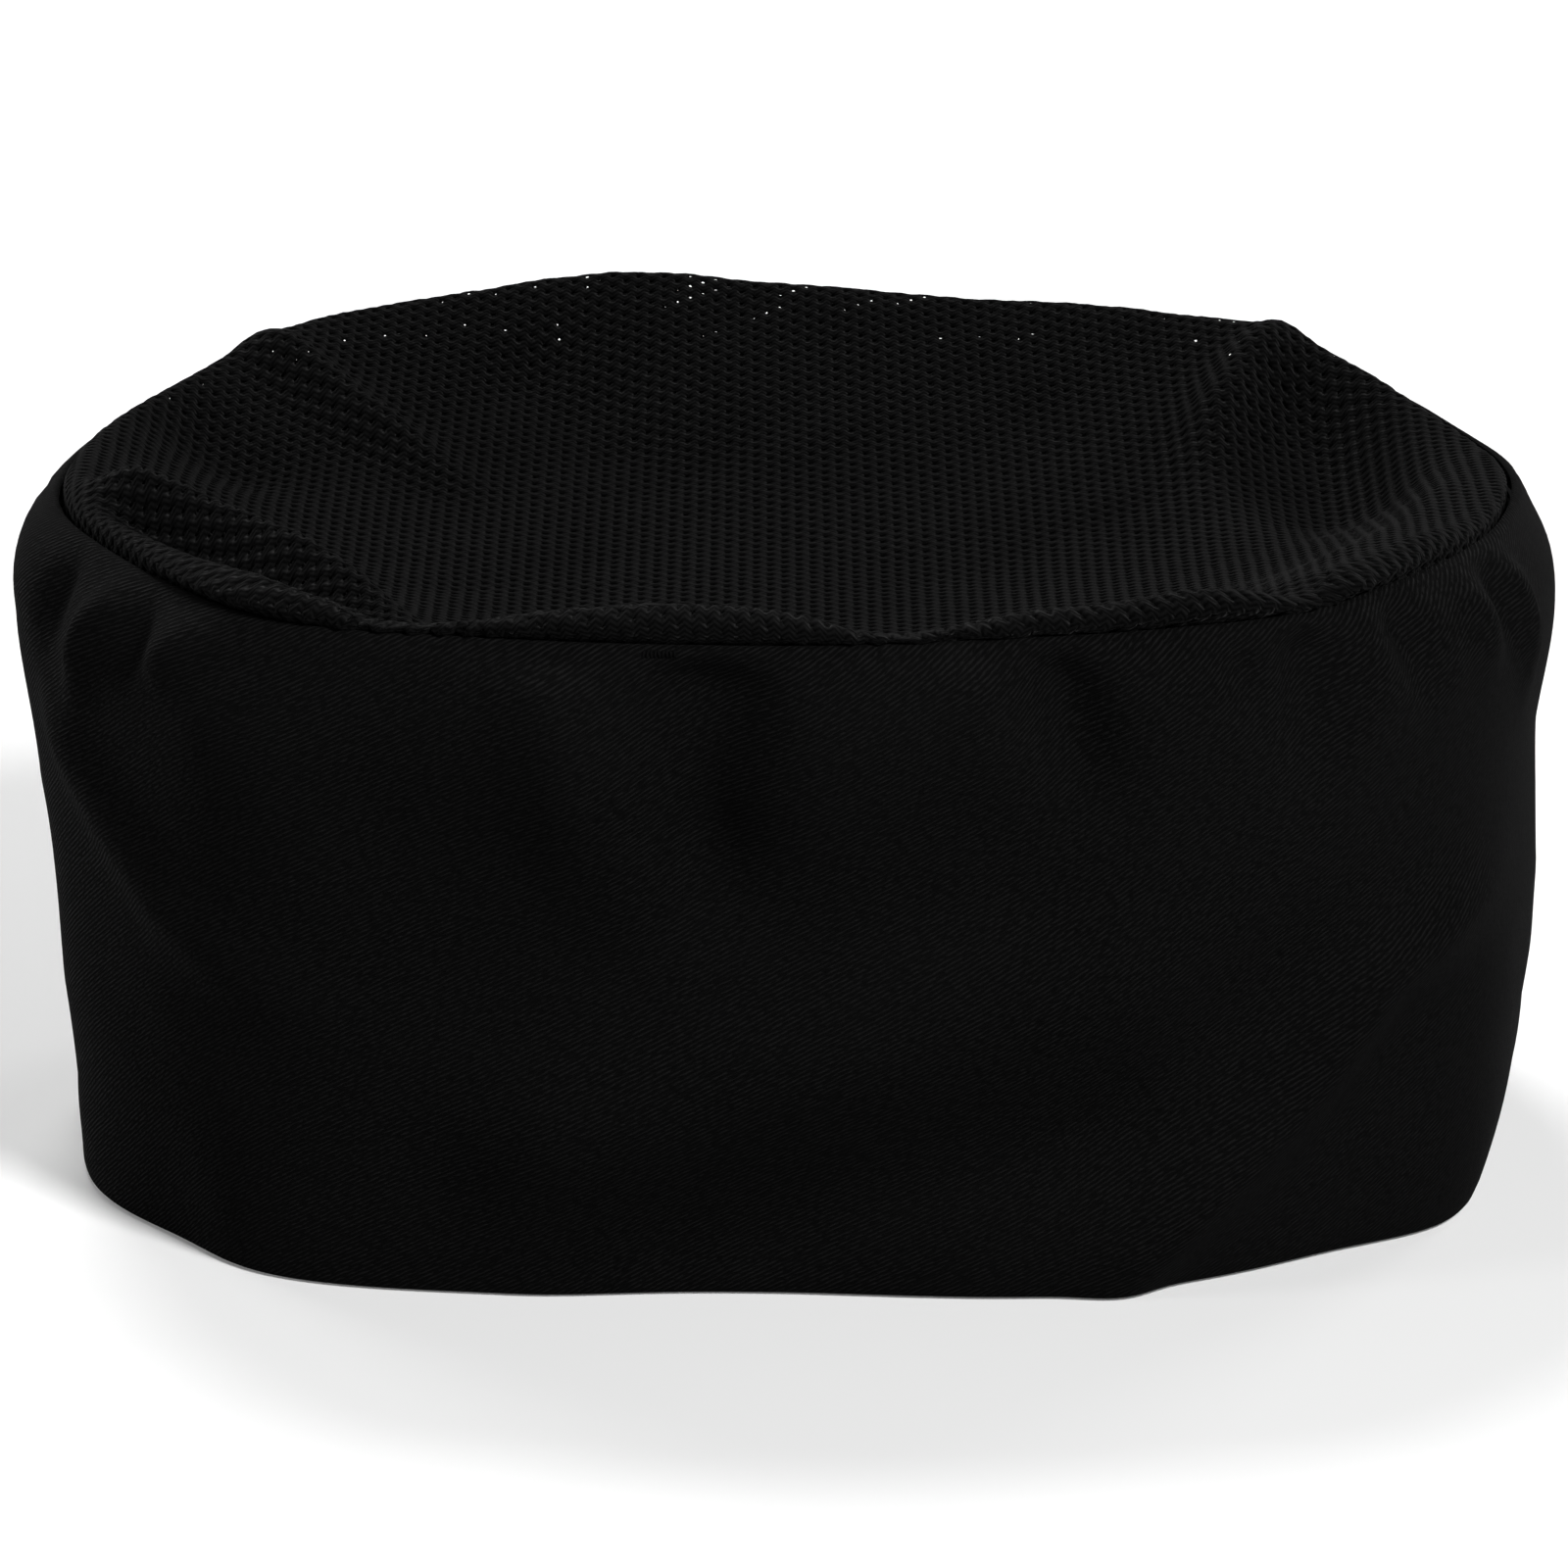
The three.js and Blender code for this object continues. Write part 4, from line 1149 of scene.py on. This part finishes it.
def tufts(name, material, side, inset, facing, body, hooks):
    """The working face of a fastener patch: rows of little hooks, or a pile of little loops."""
    draw = np.random.default_rng(8 if hooks else 9)
    pitch = 1.25
    first_x = -STRAP_FREE_END + PATCH_MARGIN
    x, z = np.meshgrid(
        np.arange(first_x + 1.4, first_x + PATCH_LENGTH - 1.2, pitch),
        np.arange(STRAP_BOTTOM + PATCH_MARGIN + 1.3, STRAP_TOP - PATCH_MARGIN - 1.1, pitch))
    scatter = 0.02 if hooks else 0.25
    x = side * x.ravel() + draw.normal(0, scatter, x.size)
    z = z.ravel() + draw.normal(0, scatter, z.size)
    lean = draw.uniform(0, 2 * math.pi, x.size)
    if hooks:
        lean = np.where(lean < math.pi, 0.0, math.pi)
    arc = math.pi * np.linspace(0, 1, 5) * (0.85 if hooks else 1.0)
    reach = 0.28 * (1 - np.cos(arc))
    rise = 0.3 * np.sin(arc) - 0.08
    at_x = x[:, None] + reach * np.cos(lean)[:, None]
    at_z = z[:, None] + reach * np.sin(lean)[:, None]
    outward = wall_outward(at_x, at_z)
    centres = rear_wall(at_x, at_z) - outward * (inset - facing * rise)[None, :, None]
    vertices, faces = [], []
    for centre, away in zip(centres, outward):
        add_capsule(vertices, faces, centre, away, 0.09, sides=4)
    obj = make_object(name, vertices, faces, sharp=80)
    dress(obj, material, body)
    return obj


def patch_stitches(name, material, side, depth, facing, body, node):
    """A rectangle of stitches round a patch, on the strap's other face."""
    inner = 1.7
    low_x = -STRAP_FREE_END + PATCH_MARGIN + inner
    high_x = low_x + PATCH_LENGTH - 2 * inner
    low_z, high_z = STRAP_BOTTOM + PATCH_MARGIN + inner, STRAP_TOP - PATCH_MARGIN - inner
    long_run, short_run = np.linspace(low_x, high_x, 40), np.linspace(low_z, high_z, 16)
    x = np.concatenate([long_run, high_x + 0 * short_run, long_run[::-1], low_x + 0 * short_run])
    z = np.concatenate([low_z + 0 * long_run, short_run, high_z + 0 * long_run, short_run[::-1]])
    moved = np.concatenate([[True], np.hypot(np.diff(x), np.diff(z)) > 1e-6])
    x, z = side * x[moved], z[moved]
    outward = wall_outward(x, z)
    path = rear_wall(x, z) - outward * depth
    obj = thread_run(name, path, outward * facing, 2.0, 0.5, THREAD_RADIUS)
    dress(obj, material, body)
    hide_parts(node)


def make_adjuster(twill, hook, loop, thread):
    hook_strap = strip("hook_strap_cloth", twill, STRAP_ROOT, -STRAP_FREE_END,
                       STRAP_BOTTOM, STRAP_TOP, hook_inset, STRAP_THICKNESS, None)
    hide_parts("hook_strap_root", "hook_strap_flap")
    fold_places = np.array([STRAP_HINGE + FOLD_HALF, STRAP_HINGE - FOLD_HALF])
    middle = (STRAP_BOTTOM + STRAP_TOP) / 2
    fold = rear_wall(fold_places, middle, STRAP_INSET) * MM
    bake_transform(hook_strap)
    loop_strap = strip("loop_strap_cloth", twill, -STRAP_ROOT, STRAP_FREE_END,
                       STRAP_BOTTOM, STRAP_TOP, loop_inset, STRAP_THICKNESS, None)
    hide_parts("loop_strap_root", "loop_strap_flap")
    fold = rear_wall(-fold_places, middle, STRAP_INSET) * MM
    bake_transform(loop_strap)
    patch("hook_tape_patch", hook, 1, HOOK_PATCH_INSET, "hook_strap", "hook_patch")
    patch("loop_tape_patch", loop, -1, LOOP_PATCH_INSET, "loop_strap", "loop_patch")
    tufts("hook_field", hook, 1, HOOK_PATCH_INSET + PATCH_THICKNESS, -1, "hook_strap",
          True)
    tufts("loop_field", loop, -1, LOOP_PATCH_INSET, 1, "loop_strap", False)
    patch_stitches("hook_patch_stitches", thread, 1, STRAP_INSET, 1, "hook_strap",
                   "hook_patch_stitching")
    patch_stitches("loop_patch_stitches", thread, -1, LOOP_STRAP_INSET + STRAP_THICKNESS, -1,
                   "loop_strap", "loop_patch_stitching")


# ---- Inside ----------------------------------------------------------------------------------
INNER_FACE = 2.8
SWEATBAND_LOW, SWEATBAND_HIGH = 3.0, 35.0


def make_sweatband(terry, thread):
    start = float(rear_turn(-60, SWEATBAND_HIGH, INNER_FACE))
    end = float(rear_turn(60, SWEATBAND_HIGH, INNER_FACE)) + 1
    turns, distances = even_turns(start, end, 2.2)
    bulge = 0.7
    share = np.linspace(0, 1, 19)
    heights = SWEATBAND_LOW + (SWEATBAND_HIGH - SWEATBAND_LOW) * share
    heights = heights[None, :]
    depth = (INNER_FACE + 0.75 + bulge * np.sin(math.pi * share) ** 0.6)[None, :]
    depth = depth + 0.25 * ripple(distances[:, None], heights, 51, 26)
    depth = depth - 0.75 * hump(heights, SWEATBAND_HIGH - 2.4, 0.9)
    ends = np.minimum(distances, distances[-1] - distances)[:, None]
    depth = INNER_FACE + (depth - INNER_FACE) * (0.35 + 0.65 * smooth_step(ends, 0, 3))
    grid = wall(turns[:, None], heights + 0 * depth, depth)
    obj = cloth("sweatband_terry", grid[:, ::-1], 0.9, flat_places(distances, heights[0][::-1]))
    dress(obj, terry)
    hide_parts("sweatband")
    ring_stitches("sweatband_stitches", thread, SWEATBAND_HIGH - 2.4, INNER_FACE + 0.85,
                  start + 0.004, end - 0.004, "sweatband_stitching")


SEAM_TAPE_LOW, SEAM_TAPE_WIDTH = 75, 10


def make_seam_tape(tape, thread):
    start, end = REAR_SEAM_TURN, REAR_SEAM_TURN + 1
    turns, distances = even_turns(start, end, 2.0, 80)
    share = np.linspace(0, 1, 9)
    heights = SEAM_TAPE_LOW + SEAM_TAPE_WIDTH * share
    depth = INNER_FACE + 0.5 + 0.25 * np.sin(math.pi * share) ** 0.5
    depth = depth[None, :] + 0.12 * ripple(distances[:, None], heights[None, :], 61, 11)
    grid = wall(turns[:, None], heights[None, :] + 0 * depth, depth)
    obj = cloth("seam_tape", grid[:, ::-1], 0.5, flat_places(distances, heights[::-1]))
    dress(obj, tape)
    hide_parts("crown_seam_tape")
    ring_stitches("crown_seam_stitches", thread, SEAM_TAPE_LOW + 8.2, INNER_FACE + 0.72, start, end,
                  "crown_seam_stitching")


LABEL_TOP, LABEL_LENGTH = 70, 30
LABEL_TURNS = 0.05                # how much of a turn the label takes up


def make_label(cloth_material, thread):
    """A blank woven label, folded double and sewn in by its top edge."""
    start = float(rear_turn(-67, LABEL_TOP, INNER_FACE))
    turns, distances = even_turns(start, start + LABEL_TURNS, 0.9, 55)
    share = np.linspace(0, 1, 24)
    heights = LABEL_TOP - LABEL_LENGTH * share
    lift = 0.45 + 1.1 * share**2 + 0.4 * share * np.sin(distances / distances[-1] * math.pi)[:, None]
    grid = wall(turns[:, None], heights[None, :] + 0 * lift, INNER_FACE + lift)
    obj = cloth("blank_label", grid, 0.35, flat_places(distances, heights))
    dress(obj, cloth_material)
    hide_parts("care_label")
    ring_stitches("label_stitches", thread, LABEL_TOP - 1.4, INNER_FACE + 0.6,
                  start + 0.003, start + LABEL_TURNS - 0.003)


make_camera()
make_stage()
TWILL = twill_material()
NET = net_material()
LINING = weave_material("lining_cloth", (0.0035, 0.0035, 0.0037), 0.5 * MM)
TAPE = weave_material("binding_tape", (0.003, 0.003, 0.0032), 0.45 * MM)
TERRY = pile_material("sweatband_terry", (0.0035, 0.0035, 0.0035), 1100, 0.0004, sheen=0.0)
FELT = pile_material("interfacing", (0.01, 0.01, 0.01), 900, 0.0001, sheen=0.0)
THREAD = thread_material()
STRAP = weave_material("strap_cloth", (0.0022, 0.0022, 0.0023), 0.5 * MM)
HOOK = pile_material("hook_tape", (0.003, 0.003, 0.003), 1500, 0.0001, roughness=0.5, sheen=0.0)
LOOP = pile_material("loop_tape", (0.0045, 0.0045, 0.0045), 1300, 0.0003, sheen=0.0)
LABEL = weave_material("label_cloth", (0.006, 0.006, 0.0062), 0.3 * MM, roughness=0.6)

make_band(TWILL)
make_crown(NET)
inner_ring("stiffener", FELT, "band_interfacing", low=3.4, high=83, inset=0.75,
           thickness=0.4, margin=3)
inner_ring("inner_lining", LINING, "band_lining", low=1.4, high=86, inset=1.95,
           thickness=0.45, margin=0.4)
make_seam_tape(TAPE, THREAD)
make_sweatband(TERRY, THREAD)
make_label(LABEL, THREAD)
arch_binding(TAPE)
arch_stitches(THREAD)
satin("bartack_right_stitches", THREAD, "bartack_right", 45, 12, 2.2, 14, 0.12, seed=3)
satin("bartack_left_stitches", THREAD, "bartack_left", -45, 12, 2.2, 14, 0.12, seed=4)
satin("seam_tack_stitches", THREAD, "seam_tack", 0, 87.0, 1.2, 4.0, 0.02, seed=6, upright=False,
      turn=0.975, radius=0.17)
make_adjuster(STRAP, HOOK, LOOP, THREAD)
